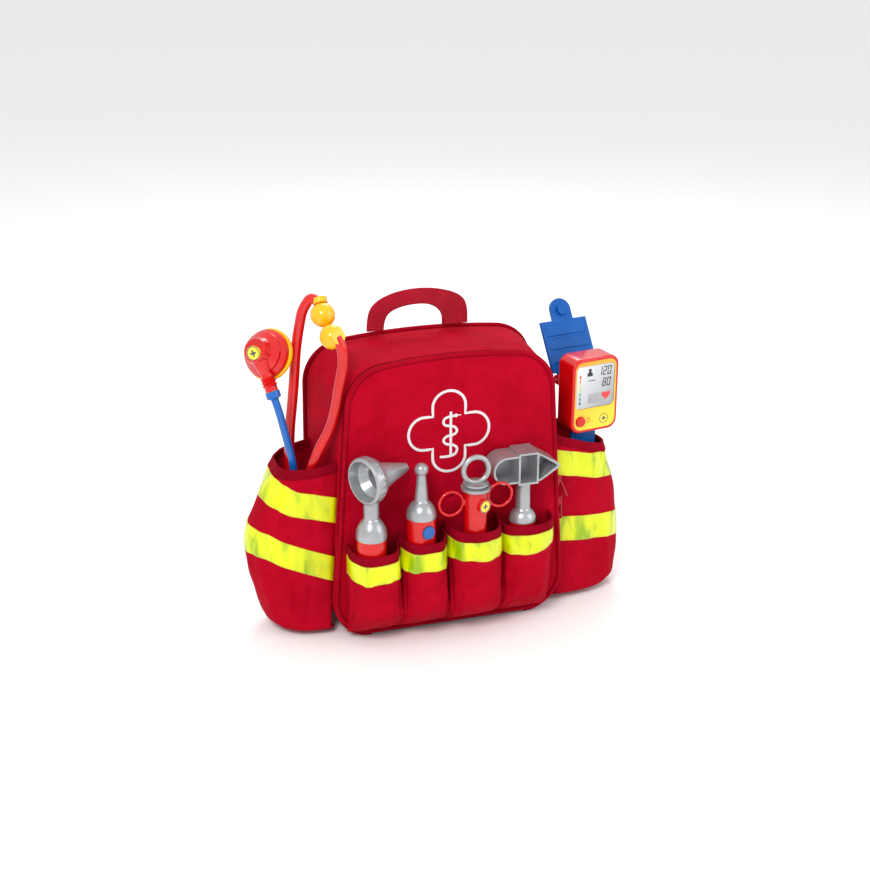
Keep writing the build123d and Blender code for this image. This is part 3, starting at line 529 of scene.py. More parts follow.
def stitches(name, lines, material, body, length=2.3, gap=1.3, radius=0.28):
    """Rows of thread along lines, each line an array of points just proud of the cloth."""
    vertices, faces = [], []
    turns = np.linspace(0, 2 * np.pi, 5, endpoint=False)
    for line in lines:
        line = np.asarray(line, float)
        run = np.concatenate([[0], np.cumsum(np.linalg.norm(np.diff(line, axis=0), axis=1))])
        count = int((run[-1] - length) // (length + gap))
        for k in range(count):
            at = k * (length + gap)
            ends = np.array([[np.interp(at + d, run, line[:, c]) for c in range(3)] for d in (0, length * 0.5, length)])
            way = ends[2] - ends[0]
            way /= max(np.linalg.norm(way), 1e-9)
            side = np.cross(way, [0.2, 0.9, 0.35])
            side /= np.linalg.norm(side)
            over = np.cross(side, way)
            base = len(vertices)
            for spot, r in zip(ends, (radius * 0.35, radius, radius * 0.35)):
                for t in turns:
                    vertices.append(spot + r * (math.cos(t) * side + math.sin(t) * over))
            for a in range(2):
                for c in range(5):
                    d = (c + 1) % 5
                    faces.append([base + a * 5 + c, base + a * 5 + d, base + a * 5 + 5 + d, base + a * 5 + 5 + c])
            faces.append([base + c for c in range(4, -1, -1)])
            faces.append([base + 10 + c for c in range(5)])
    return add_mesh(name, vertices, faces, material, body)


# Bag wall, in one piece with the base
wall_y = np.concatenate([[-37.4, -36.6], np.linspace(-35.5, 41.5, 62), [42.7, 43.6]])
WALL_N = 520
wall_rings = np.stack([outline(y, 0.0, 0.0, WALL_N) for y in wall_y], 1)
wall_out = np.roll(wall_rings, -1, 0) - np.roll(wall_rings, 1, 0)
wall_out /= np.linalg.norm(wall_out, axis=2)[:, :, None]
wall_out = np.stack([wall_out[:, :, 1], -wall_out[:, :, 0]], -1)
loop_length = np.linalg.norm(np.diff(outline(0.0, 0.0, 0.0, WALL_N), axis=0), axis=1).sum()
wall_s = np.linspace(0, loop_length, WALL_N, endpoint=False)[:, None]
wall_t = wall_y[None, :]
TOP_S = loop_length / 2
wall_folds = [
    (TOP_S + s0, t0, TOP_S + s1, t1, width, height) for s0, t0, s1, t1, width, height in (
        (22, -30, 8, 8, 5.0, 1.5), (2, -22, -20, 20, 6.0, 1.3), (-38, -34, -44, 2, 5.0, 1.3),
        (54, -10, 40, 34, 7.0, -1.1), (-66, -30, -92, 10, 6.0, 1.3), (-30, 10, -60, 36, 6.0, -1.2),
        (92, -30, 118, 14, 7.0, 1.4), (128, -20, 150, 30, 7.0, -1.2), (170, -34, 196, -4, 6.0, 1.2),
        (-128, -20, -150, 28, 7.0, 1.2), (-176, -32, -190, 20, 7.0, -1.1))]
free = ease(0.5, 12, wall_rings[:, :, 1])
lift = (ripple(wall_s, wall_t, 3, 46, 0.45) + ridges(wall_s, wall_t, wall_folds)) * free
lift = lift - 0.9 * free * (np.exp(-((wall_t - 43.8) / 3.0) ** 2) + np.exp(-((wall_t + 37.4) / 3.2) ** 2))
lift = np.minimum(lift, 2.0)
wall_grid = np.stack([wall_rings[:, :, 0] + wall_out[:, :, 0] * lift, np.broadcast_to(wall_t, lift.shape),
                      wall_rings[:, :, 1] + wall_out[:, :, 1] * lift], -1)
wall = cloth("bag_wall", wall_grid, 1.6, RED, "bag", wrap=True, turn=True)
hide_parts("gusset", "base_panel")


def outward(line):
    """Unit normals of an (x, z) line, pointing away from the bag."""
    way = np.gradient(line, axis=0)
    way /= np.linalg.norm(way, axis=1)[:, None]
    return np.stack([way[:, 1], -way[:, 0]], 1)


def part_of_loop(y, low):
    """The stretch of the outline over the top, above a height, right to left."""
    ring = outline(y, 0.0, 0.0, 900)
    return ring[ring[:, 1] >= low]


def strip_grid(y_values, lifts, count=420):
    """Rows of a strip round the top, each at a depth and a lift off the outline."""
    rows = []
    for y, lift in zip(y_values, lifts):
        line = resample(part_of_loop(y, ZIP_END), count)
        moved = line + outward(line) * lift
        rows.append(np.stack([moved[:, 0], np.full(count, y), moved[:, 1]], 1))
    return np.stack(rows, 1)


# Strip of cloth between the front piping and the zip
strip = cloth("zip_front_cloth", strip_grid([-44.4, -43.6, -42.6, -41.4, -40.6], [-0.6, 0.1, 0.4, 0.1, -0.5]),
              1.2, RED, "front_flap", turn=True)
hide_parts("front_strip")

# Zip: a tape with a moulded coil of teeth
TOOTH_PITCH, TOOTH_HALF = 1.55, 0.52
tape = cloth("zip_tape", strip_grid([-41.0, -39.9, -38.1, -37.0], [-1.0, -0.8, -0.8, -1.0]),
             0.8, DEEP, "bag", turn=True)
teeth_line = resample(part_of_loop(ZIP_Y, ZIP_END + 1), 3000)
run = np.concatenate([[0], np.cumsum(np.linalg.norm(np.diff(teeth_line, axis=0), axis=1))])
vertices, faces = [], []
for k in range(int(run[-1] // TOOTH_PITCH)):
    at = (k + 0.5) * TOOTH_PITCH
    x, z = np.interp(at, run, teeth_line[:, 0]), np.interp(at, run, teeth_line[:, 1])
    x2, z2 = np.interp(at + 0.4, run, teeth_line[:, 0]), np.interp(at + 0.4, run, teeth_line[:, 1])
    way = np.array([x2 - x, z2 - z])
    way /= max(np.linalg.norm(way), 1e-9)
    out = np.array([way[1], -way[0]])
    side = 0.45 if k % 2 else -0.45
    base = len(vertices)
    for dy, rise in ((-1.5, -0.5), (-1.1, 0.25), (0, 0.5), (1.1, 0.25), (1.5, -0.5)):
        for level in (rise, rise - 0.7):
            for dw in (-TOOTH_HALF, TOOTH_HALF):
                spot = np.array([x, z]) + way * dw + out * level
                vertices.append([spot[0], ZIP_Y + side + dy * 0.75, spot[1]])
    for r in range(4):
        a, b = base + r * 4, base + r * 4 + 4
        faces += [[a, a + 1, b + 1, b], [a + 2, b + 2, b + 3, a + 3],
                  [a, b, b + 2, a + 2], [a + 1, a + 3, b + 3, b + 1]]
    faces += [[base, base + 2, base + 3, base + 1], [base + 16, base + 17, base + 19, base + 18]]
teeth = add_mesh("zip_teeth", vertices, faces, DEEP, "bag", smooth=False)
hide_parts("zip_coil")

# Cloth below the ends of the zip, sewn to both the flap and the wall
for side, sign in (("right", 1), ("left", -1)):
    rows = []
    web_y = np.linspace(-44.4, -37.2, 9)
    for k, y in enumerate(web_y):
        ring = outline(y, 0.0, 0.0, 900)[:450]
        ring = ring[(ring[:, 1] <= ZIP_END + 0.5) & (ring[:, 0] > 76)]
        line = resample(ring, 90)
        level = -0.2 + 0.7 * math.sin(math.pi * k / 8)
        moved = line + outward(line) * level * ease(2, 14, line[:, 1])[:, None]
        rows.append(np.stack([moved[:, 0] * sign, np.full(90, y), moved[:, 1]], 1))
    grid = np.stack(rows, 1)
    web = cloth("zip_end_cloth_" + side, grid, 1.2, RED, None, turn=sign > 0)
    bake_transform(web)
    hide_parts("zip_end_web_" + side)


def panel_front(x, z):
    """Depth of the padded front panel's face."""
    swell = np.clip(1 - np.abs(x / 106) ** 4, 0, 1) * np.clip(1 - np.abs((z - 135) / 132) ** 4, 0, 1)
    folds = [(-70, 228, -20, 236, 8, 0.45), (20, 240, 62, 222, 9, 0.45), (-88, 150, -72, 216, 8, 0.4),
             (60, 128, 84, 200, 9, 0.45), (-40, 128, 20, 134, 10, 0.35)]
    return FRONT_Y - 0.75 * swell - 0.4 * swell * ripple(x, z, 11, 60, 0.6) - swell * ridges(x, z, folds)


def radial_panel(y_edge, inset, base_z, rings=48, count=300):
    edge = outline(y_edge, inset, base_z, count)
    centre = np.array([0.0, 132.0])
    share = np.linspace(0.0, 1.0, rings) ** 0.8
    share[0] = 0.004
    return centre + (edge - centre)[:, None, :] * share[None, :, None]


flat_grid = radial_panel(FRONT_Y, PIPING * 0.6, FRONT_LIFT + PIPING)
depth = panel_front(flat_grid[:, :, 0], flat_grid[:, :, 1])
front_grid = np.stack([flat_grid[:, :, 0], depth, flat_grid[:, :, 1]], -1)
front = cloth("front_panel_cloth", front_grid, 2.2, RED, "front_flap", wrap=True, turn=True)
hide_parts("front_panel")


def back_face(x, z):
    swell = np.clip(1 - np.abs(x / 112) ** 6, 0, 1) * np.clip(1 - np.abs((z - 132) / 131) ** 6, 0, 1)
    channel = np.exp(-(((np.abs(x) - 34) / 2.2) ** 2)) + np.exp(-((z - 70) / 2.2) ** 2) * (np.abs(x) < 100)
    return BACK_Y - 0.6 + swell * (0.9 - 1.3 * np.clip(channel, 0, 1)) + 0.3 * swell * ripple(x, z, 21, 40, 0.6)


flat_grid = radial_panel(BACK_Y, PIPING * 0.6, PIPING + 0.1)
depth = back_face(flat_grid[:, :, 0], flat_grid[:, :, 1])
back_grid = np.stack([flat_grid[:, :, 0], depth, flat_grid[:, :, 1]], -1)
back_pad = cloth("back_panel_cloth", back_grid, 2.2, MESH_BACK, "bag", wrap=True, turn=False)
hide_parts("back_panel")

# Corded pipings
for name, y, base_z, body, node in (
        ("front_piping_cord", FRONT_Y, FRONT_LIFT + PIPING, "front_flap", "front_piping"),
        ("back_piping_cord", BACK_Y, PIPING + 0.1, "bag", "back_piping")):
    ring = outline(y, 0.0, base_z, 700)
    path = np.stack([ring[:, 0], np.full(700, y), ring[:, 1]], 1)
    cord = tube(name, path, PIPING, PIPING_CLOTH, body, sides=14, bumps=0.012)
    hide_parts(node)


# Front pockets, each (left, right, crest, bulge, top)
CELLS = [(-100.7, -53.8, -83.0, 36.0, 97.0), (-53.2, -9.3, -36.4, 37.1, 103.0),
         (-8.7, 43.2, 13.2, 40.8, 109.0), (43.8, 97.7, 65.0, 29.0, 104.0)]
SQUARE = 2.7
FLOOR = 9.0
CELL_PROFILE = ([9.0, 16.0, 24.0, 32.0, 40.0, 52.0, 80.0, 112.0],
                [0.12, 0.44, 0.72, 0.905, 0.975, 1.0, 1.0, 1.0])
HEM, STRIP = 9.0, 19.0
TURNS = np.linspace(180, 0, 91)
CELL_FOLDS = [
    [(0.16, 66, 0.10, 14, 2.6, -1.9), (0.34, 62, 0.42, 16, 3.4, 1.0),
     (0.80, 70, 0.88, 14, 3.0, -1.8), (0.62, 40, 0.66, 12, 3.5, 1.2)],
    [(0.14, 70, 0.10, 14, 2.8, -1.9), (0.48, 44, 0.44, 12, 4.0, 1.2),
     (0.76, 66, 0.70, 18, 3.0, 1.2), (0.90, 74, 0.86, 12, 2.8, -1.9)],
    [(0.12, 76, 0.12, 14, 2.8, -2.0), (0.34, 46, 0.30, 12, 4.4, 1.3),
     (0.68, 56, 0.76, 14, 3.6, 1.3), (0.90, 76, 0.86, 12, 2.8, -2.0)],
    [(0.14, 72, 0.12, 14, 2.8, -1.8), (0.40, 60, 0.30, 12, 3.6, 1.4),
     (0.66, 70, 0.62, 16, 3.4, 1.1), (0.86, 68, 0.90, 16, 3.0, -1.6)],
]


def power(value, n):
    return np.sign(value) * np.abs(value) ** n


def valley_share(i, s, heights, reach):
    """How far the cloth between two cells stands off the panel, as a share of this cell's reach."""
    level = spline([9, 22, 40, 60, 76, 90, 112], [0.80, 0.74, 0.58, 0.36, 0.16, 0.0, 0.0], heights)
    sides = []
    for k in (i - 1, i + 1):
        sides.append(min(CELLS[i][3], CELLS[k][3]) / CELLS[i][3] if 0 <= k < len(CELLS) else 0.0)
    turn = ease(0.3, 0.7, s)
    return level * (sides[0] * (1 - turn) + sides[1] * turn)


def cell_points(i, turns, heights, grow):
    """Points of cell i's cloth for turns (degrees, left = 180) and heights."""
    left, right, crest, bulge, top = CELLS[i]
    share = spline(*CELL_PROFILE, heights)
    square = SQUARE - 0.5 * (1 - ease(34, 74, heights))
    s = (180 - turns) / 180
    reach = bulge * share + grow
    half, middle = (right - left) / 2 + min(grow, 0.3), (left + right) / 2
    angle = np.radians(turns)
    forward = np.abs(np.sin(angle)) ** (2 / square)
    x = middle + half * power(np.cos(angle), 2 / square) + (crest - middle) * 0.4 * forward
    joined = valley_share(i, s, heights, reach)
    y = FRONT_Y - reach * (joined + (1 - joined) * forward)
    x = x + np.where(s > 0.5, 1, -1) * 0.32 * np.clip(joined * 8, 0, 1) * (1 - forward)
    length = (right - left) + 1.5 * bulge
    near = np.exp(-(((heights - (top - 16)) / 13.0) ** 2))
    phase = s * length / 4.6 + 1.3 * i + 0.09 * (heights - top) + 0.9 * np.sin(s * length / 13 + i)
    pleats = (0.9 + 0.9 * np.sin(phase)) * near
    pleats = pleats * (0.25 + 0.75 * np.sin(np.pi * s) ** 0.5) * 0.95
    folds = ridges(s * length, heights, [(a * length, b, c * length, d, w * 1.25, h * 1.6)
                                         for a, b, c, d, w, h in CELL_FOLDS[i]])
    low = ripple(s * length, heights, 40 + i, 17, 0.55)
    low = low * ease(FLOOR, FLOOR + 14, heights) * (1 - ease(46, 66, heights))
    lift = np.maximum(pleats + folds + np.maximum(low, -0.3), -0.25 - 2.2 * (1 - np.sin(np.pi * s)) ** 1.5)
    lift = lift * np.clip(np.sin(np.pi * s) * 4, 0, 1)
    out = np.stack([power(np.cos(angle), 2 - 2 / SQUARE) / half,
                    -np.abs(np.sin(angle)) ** (2 - 2 / SQUARE) / np.maximum(reach, 4)], -1)
    out = out / np.linalg.norm(out, axis=-1)[..., None]
    return np.stack([x + out[..., 0] * lift, y + out[..., 1] * lift, heights + 0 * x], -1)


def cell_grid(i, low, high, grow, rows, low_wave=0.0, step=0.0):
    """Rows of cell i's cloth between two heights, its lower edge wavy or stepped, clear of the piping."""
    turns = TURNS[:, None] * np.ones(rows)
    s = (180 - turns) / 180
    bottom = low + low_wave * (np.sin(s * 13 + i * 1.7) * 0.6 + np.sin(s * 29 + i) * 0.4) + step * ease(0.6, 0.75, s)
    level = np.linspace(0, 1, rows)[None, :]
    return clear_of_piping(cell_points(i, turns, bottom * (1 - level) + high * level, grow))


def clear_of_piping(grid):
    """Cloth sewn on inside the piping: points over the edge of the panel are drawn in."""
    x_limit = half_width(FRONT_Y, grid[:, :, 2]) - (PIPING + 0.7)
    grid[:, :, 0] = np.clip(grid[:, :, 0], -x_limit, x_limit)
    return grid


thread_lines, pale_lines = [], []
for i, (left, right, crest, bulge, top) in enumerate(CELLS):
    body_grid = cell_grid(i, FLOOR, top - 0.6, 0.0, 90)
    floor_rows = []
    for k in (0.06, 0.3, 0.6, 0.85):
        row = body_grid[:, 0].copy()
        row[:, 1] = FRONT_Y + (row[:, 1] - FRONT_Y) * k
        floor_rows.append(row)
    body_grid = np.concatenate([np.stack(floor_rows, 1), body_grid], 1)
    pocket = cloth("front_pocket_cloth_%d" % (i + 1), body_grid, 1.1, RED, "front_flap")
    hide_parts("front_pocket_%d" % (i + 1))
    drop = {"low_wave": 1.5, "step": 3.0 if i == 3 else 0.0}
    band = cell_grid(i, top - HEM - STRIP, top - HEM + 0.4, 0.35, 26, **drop)
    neon = cloth("front_strip_%d" % (i + 1), band, 0.45, NEON, "front_flap")
    rim = cell_grid(i, top - HEM, top, 0.75, 18)
    rim[:, :, 1] -= np.sin(np.pi * np.linspace(0, 1, 18)) * 0.5 * (np.sin(np.radians(TURNS)) > 0.2)[:, None]
    hem = cloth("front_hem_%d" % (i + 1), rim, 1.9, DEEP, "front_flap")
    if i == 0:
        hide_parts("front_pocket_reflector")
        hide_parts("front_pocket_hem")
    over = cell_grid(i, top - HEM - STRIP + 1.0, top - HEM - 0.5, 0.62, 26, **drop)
    pale_lines += [over[3:-3, 1], over[3:-3, -2]]
    thread_lines += [cell_grid(i, top - HEM, top, 1.3, 18)[3:-3, 2]]

front_pale, front_threads = len(pale_lines), len(thread_lines)

# Side pockets: how far they stand out at each height, and the height and slope of mouth and strips
SIDES = {
    "left": {"rows": [(7.0, 52.0), (60.0, 70.0), (92.0, 74.0), (130.0, 62.0), (174.0, 44.0)],
             "top": (170.0, -9.0), "bands": [(58.0, 20.0), (115.0, 17.0)]},
    "right": {"rows": [(7.0, 74.0), (60.0, 79.0), (100.0, 76.0), (135.0, 69.0), (174.0, 58.0)],
              "top": (171.0, -20.0), "bands": [(64.0, -8.0), (131.0, -11.0)]},
}
SIDE_FLOOR, SIDE_LENGTH, BAND_TALL = 7.0, 190.0, 25.0
SIDE_TURNS = np.linspace(-90, 90, 141)
POCKET_FRONT, POCKET_BACK, POCKET_MID = -33.0, 38.0, 5.0
SIDE_FOLDS = {
    "left": [(30, 60, 38, 14, 4.5, 1.4), (66, 52, 60, 12, 5.0, 1.3), (16, 150, 10, 100, 4.0, -1.4), (44, 156, 50, 108, 4.0, 1.0),
             (96, 150, 100, 96, 6.0, 1.3), (120, 60, 110, 18, 6.0, 1.3), (12, 58, 16, 12, 4.0, -1.4), (80, 96, 88, 66, 5.0, 1.2),
             (150, 130, 146, 60, 7.0, 1.4)],
    "right": [(28, 56, 12, 12, 4.5, -1.6), (44, 60, 52, 14, 5.0, 1.5), (18, 156, 14, 110, 4.0, -1.2), (70, 130, 76, 92, 5.0, 1.2),
              (96, 60, 90, 14, 6.0, 1.4), (120, 150, 128, 80, 7.0, 1.3), (58, 160, 60, 128, 4.0, 1.0), (150, 120, 146, 50, 7.0, 1.4)],
}


def side_points(side, turns, heights, grow):
    """Points of a side pocket's cloth, on the right, for turns (front = -90) and heights."""
    rows = SIDES[side]["rows"]
    reach = spline([r[0] for r in rows], [r[1] for r in rows], heights) + grow
    root = half_width(POCKET_FRONT, heights)
    angle = np.radians(turns)
    out = np.abs(np.cos(angle)) ** (2 / SQUARE)
    along = power(np.sin(angle), 2 / SQUARE)
    depth = np.where(turns < 0, POCKET_MID - POCKET_FRONT, POCKET_BACK - POCKET_MID) + grow
    x, y = root + reach * out, POCKET_MID + depth * along
    nx = np.abs(np.cos(angle)) ** (2 - 2 / SQUARE) / np.maximum(reach, 5)
    ny = power(np.sin(angle), 2 - 2 / SQUARE) / depth
    size = np.hypot(nx, ny)
    s = (turns + 90) / 180
    run = s * SIDE_LENGTH
    top = SIDES[side]["top"][0]
    near = np.exp(-(((heights - (top - 22)) / 20.0) ** 2))
    pleats = (0.8 + 0.8 * np.sin(run / 4.6 + 0.05 * heights)) * near * 0.62
    lift = pleats + ridges(run, heights, SIDE_FOLDS[side]) + ripple(run, heights, 60 + len(side), 30, 0.5)
    lift = np.clip(lift, -1.4, 2.6) * np.clip(np.cos(angle) * 5, 0, 1) * ease(7.5, 15, heights)
    return np.stack([x + nx / size * lift, y + ny / size * lift, heights + 0 * x], -1)


def plane_height(side, turns, level, slope):
    """Height at which a tilted plane cuts the pocket's cloth, for each turn."""
    z = np.full(turns.shape, level, float)
    for _ in range(8):
        rows = SIDES[side]["rows"]
        reach = spline([r[0] for r in rows], [r[1] for r in rows], z)
        x = half_width(POCKET_FRONT, z) + reach * np.abs(np.cos(np.radians(turns))) ** (2 / SQUARE)
        z = level + (x - 113.0) * math.tan(math.radians(slope))
    return z


def side_grid(side, low, high, grow, rows):
    level = np.linspace(0, 1, rows)[None, :]
    turns = SIDE_TURNS[:, None] * np.ones(rows)
    return side_points(side, turns, low[:, None] * (1 - level) + high[:, None] * level, grow)


for side, sign in (("left", -1), ("right", 1)):
    top, slope = SIDES[side]["top"]
    rim_z = plane_height(side, SIDE_TURNS, top, slope)
    floor_z = np.full(SIDE_TURNS.shape, SIDE_FLOOR)
    grid = side_grid(side, floor_z, rim_z - 0.8, 0.0, 120)
    root_x = half_width(POCKET_FRONT, SIDE_FLOOR) - 4
    # The lower edge is rounded and closes toward the wall
    rounded = grid.copy()
    turn_in = np.clip((16 - rounded[:, :, 2]) / 9.0, 0, 1)
    shrink = 1 - 0.10 * turn_in ** 2
    rounded[:, :, 0] = root_x + (rounded[:, :, 0] - root_x) * shrink
    floor_rows = []
    for k in (0.02, 0.25, 0.5, 0.75, 0.93):
        row = rounded[:, 0].copy()
        row[:, 0] = root_x + (row[:, 0] - root_x) * k
        row[:, 1] = POCKET_MID + (row[:, 1] - POCKET_MID) * (0.9 + 0.1 * k)
        floor_rows.append(row)
    full = np.concatenate([np.stack(floor_rows, 1), rounded], 1)
    flip = np.array([sign, 1, 1])
    pocket = cloth("side_pocket_cloth_" + side, full * flip, 1.2, RED, "bag", turn=sign < 0)
    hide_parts("side_pocket_" + side)
    for k, (low, lean) in enumerate(SIDES[side]["bands"]):
        low_z = plane_height(side, SIDE_TURNS, low, lean)
        high_z = plane_height(side, SIDE_TURNS, low + BAND_TALL, lean)
        s = (SIDE_TURNS + 90) / 180
        wave = 1.6 * np.sin(s * 9 + k * 2) + (3.0 if side == "left" else 0.8) * (ease(0.16, 0.30, s) - 0.5)
        low_z, high_z = low_z + wave, np.minimum(high_z + wave, rim_z - HEM - 0.2)
        band = cloth("side_strip_%s_%d" % (side, k + 1), side_grid(side, low_z, high_z, 0.4, 30) * flip,
                     0.5, NEON, "bag", turn=sign < 0)
        pale_lines += [side_grid(side, low_z + 1.2, high_z, 0.62, 4)[4:-4, 0] * flip,
                       side_grid(side, low_z, high_z - 1.2, 0.62, 4)[4:-4, 3] * flip]
    rim = side_grid(side, rim_z - HEM, rim_z, 0.85, 16)
    hem = cloth("side_hem_" + side, rim * flip, 2.2, DEEP, "bag", turn=sign < 0)
    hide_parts("side_pocket_hem_" + side)
    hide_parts("side_reflector_" + side)
    thread_lines += [side_grid(side, rim_z - HEM + 1.2, rim_z, 1.2, 4)[4:-4, 0] * flip]

for name, lines, material, body, slot in (
        ("pale_stitches_side", pale_lines[front_pale:], PALE_THREAD, "bag", "neon_fabric"),
        ("pale_stitches_front", pale_lines[:front_pale], PALE_THREAD, "front_flap", "neon_fabric"),
        ("hem_stitches_front", thread_lines[:front_threads], THREAD, "front_flap", "deep_red_fabric"),
        ("hem_stitches_side", thread_lines[front_threads:], THREAD, "bag", "deep_red_fabric")):
    stitches(name, lines, material, body)

# Grab handle of flat webbing
HANDLE_Y, HANDLE_BASE, HANDLE_TOP = 42.5, 266.6, 303.3
outer_line = smooth_line([(-52, HANDLE_BASE), (-47, HANDLE_TOP - 14), (-31, HANDLE_TOP - 4), (-10, HANDLE_TOP),
                          (26.5, HANDLE_TOP - 4), (42.5, HANDLE_TOP - 13), (46.5, HANDLE_BASE)], 120)
inner_line = smooth_line([(-36, HANDLE_BASE), (-32, HANDLE_TOP - 22), (-21, HANDLE_TOP - 16), (-8, HANDLE_TOP - 14),
                          (13.5, HANDLE_TOP - 18), (20.5, HANDLE_TOP - 26), (21.5, HANDLE_BASE)], 120)
share = np.linspace(0, 1, 120)
curl = np.sin(np.pi * share) * 1.2
rows = []
for w in np.linspace(0, 1, 13):
    line = inner_line * (1 - w) + outer_line * w
    y = HANDLE_Y - 1.0 + curl * (w - 0.5) * 2.4 + 0.25 * np.cos((w - 0.5) * np.pi)
    rows.append(np.stack([line[:, 0], y, line[:, 1]], 1))
handle = cloth("grab_handle_webbing", np.stack(rows, 1), 1.9, WEBBING, "carry_handle", turn=False)
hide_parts("grab_handle")

# Shoulder straps, padded, with webbing below their ladder locks
STRAP_TOP, STRAP_JOIN, STRAP_LOW = 244.0, 96.0, 24.0


def strap_depth(z):
    share = (z - STRAP_LOW) / (STRAP_TOP - STRAP_LOW)
    return BACK_Y + 5.0 + 26.0 * np.abs(np.sin(np.pi * np.clip(share, 0, 1))) ** 0.8


def placed(points, side):
    angle = math.radians(-11.0 if side == "right" else 11.0)
    shift = 36.0 if side == "right" else -36.0
    points = np.asarray(points, float) - [0, 0, STRAP_TOP]
    x = points[..., 0] * math.cos(angle) + points[..., 2] * math.sin(angle)
    z = -points[..., 0] * math.sin(angle) + points[..., 2] * math.cos(angle)
    return np.stack([x + shift, points[..., 1], z + STRAP_TOP], -1)


def puff(ob, cap):
    """Swell a closed pad with a short cloth simulation, each point held within cap."""
    bpy.ops.object.select_all(action="DESELECT")
    ob.select_set(True)
    bpy.context.view_layer.objects.active = ob
    remesh = ob.modifiers.new("remesh", "REMESH")
    remesh.mode = "VOXEL"
    remesh.voxel_size = 0.0035
    bpy.ops.object.modifier_apply(modifier=remesh.name)
    count = len(ob.data.vertices)
    rest = np.zeros(count * 3)
    ob.data.vertices.foreach_get("co", rest)
    soft = ob.modifiers.new("cloth", "CLOTH")
    soft.settings.use_pressure = True
    soft.settings.uniform_pressure_force = 4.0
    soft.settings.effector_weights.gravity = 0.0
    soft.settings.quality = 5
    for f in range(1, 21):
        scene.frame_set(f)
    swollen = ob.evaluated_get(bpy.context.evaluated_depsgraph_get()).data
    moved = np.zeros(count * 3)
    swollen.vertices.foreach_get("co", moved)
    step = (moved - rest).reshape(-1, 3)
    size = np.linalg.norm(step, axis=1)[:, None]
    step = step * np.minimum(1.0, cap * MM / np.maximum(size, 1e-9))
    ob.modifiers.remove(soft)
    scene.frame_set(1)
    ob.data.vertices.foreach_set("co", (rest.reshape(-1, 3) + step).ravel())
    ob.data.update()
    finer = ob.modifiers.new("finer", "SUBSURF")
    finer.levels = 1
    bpy.ops.object.modifier_apply(modifier=finer.name)
    ob.data.polygons.foreach_set("use_smooth", [True] * len(ob.data.polygons))
    ob.select_set(False)


for side in ("left", "right"):
    heights = np.linspace(STRAP_JOIN, STRAP_TOP, 70)
    depth = strap_depth(heights)
    rings = []
    turns = np.linspace(0, 2 * np.pi, 40, endpoint=False)
    for z, y in zip(heights, depth):
        rim = ease(STRAP_JOIN, STRAP_JOIN + 7, z) * (1 - ease(STRAP_TOP - 7, STRAP_TOP, z))
        half_w, half_t = 14.0 + 4.4 * rim, 2.0 + 1.2 * rim
        rings.append(np.stack([half_w * power(np.cos(turns), 0.5), y + half_t * power(np.sin(turns), 0.75),
                               np.full(40, z)], 1))
    rings = placed(np.stack(rings), side)
    faces = []
    for a in range(69):
        for c in range(40):
            d = (c + 1) % 40
            faces.append([a * 40 + c, a * 40 + d, a * 40 + 40 + d, a * 40 + 40 + c])
    faces += [list(range(40))[::-1], [69 * 40 + c for c in range(40)]]
    pad = add_mesh("shoulder_pad_" + side, rings.reshape(-1, 3), faces, RED, "bag")
    puff(pad, 1.4)
    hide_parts("shoulder_strap_" + side)
    for edge, where in ((-1, "in"), (1, "out")):
        line = placed(np.stack([np.full(70, 19.0 * edge), depth, heights], 1), side)
        binding = tube("strap_binding_%s_%s" % (side, where), line, 1.3, PIPING_CLOTH, "bag", closed=False, sides=10)
    root_y = np.linspace(BACK_Y - 0.5, float(depth[-1]) - 1.5, 8)
    root = placed(np.stack([np.stack([np.full(8, x), root_y, np.full(8, STRAP_TOP - 3)], 1)
                            for x in np.linspace(-18, 18, 9)], 0), side)
    root_tab = cloth("strap_root_" + side, root, 4.0, RED, "bag", turn=False)
    low = np.linspace(STRAP_LOW, STRAP_JOIN - 26.0 - 0.6, 50)
    tape_rows = [placed(np.stack([np.full(50, x), strap_depth(low) + 0.9, low], 1), side)
                 for x in np.linspace(-10, 10, 9)]
    ribbon = cloth("strap_tape_" + side, np.stack(tape_rows, 1), 1.7, WEBBING, "bag", turn=False)
    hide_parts("strap_webbing_" + side)
    foot_z = np.linspace(STRAP_LOW - 1, STRAP_LOW + 9, 12)
    foot = [placed(np.stack([np.full(12, x), np.full(12, BACK_Y + 0.9), foot_z], 1), side)
            for x in np.linspace(-10, 10, 9)]
    patch = cloth("strap_foot_" + side, np.stack(foot, 1), 1.6, WEBBING, "bag", turn=False)


# Flat printed and sewn shapes
def frame_of(origin, across, upward):
    """A plane's middle, its two directions and the one out of it."""
    across, upward = unit(across), np.asarray(upward, float)
    upward = unit(upward - across * (across @ upward))
    return np.asarray(origin, float), across, upward, np.cross(across, upward)


def slabs(shapes, lay, rises):
    """Thin plates over (x, z) shapes; lay gives the points of a shape at a rise."""
    vertices, faces = [], []
    for shape in shapes:
        shape = np.asarray(shape, float)
        area = np.sum(shape[:, 0] * np.roll(shape[:, 1], -1) - np.roll(shape[:, 0], -1) * shape[:, 1])
        if area < 0:
            shape = shape[::-1]
        base, n = len(vertices), len(shape)
        for rise in rises:
            vertices += lay(shape, rise).tolist()
        faces.append([base + k for k in range(n)])
        faces.append([base + n + k for k in range(n - 1, -1, -1)])
        for k in range(n):
            m = (k + 1) % n
            faces.append([base + k, base + n + k, base + n + m, base + m])
    return vertices, faces


def plates(name, place, shapes, material, body, lift=0.06, thick=0.14):
    """Thin flat shapes lying on a plane."""
    origin, across, upward, out = place
    vertices, faces = slabs(shapes, lambda shape, rise: origin + shape[:, :1] * across + shape[:, 1:] * upward
                            + out * rise, (lift, lift - thick))
    return add_mesh(name, vertices, faces, material, body, smooth=False)


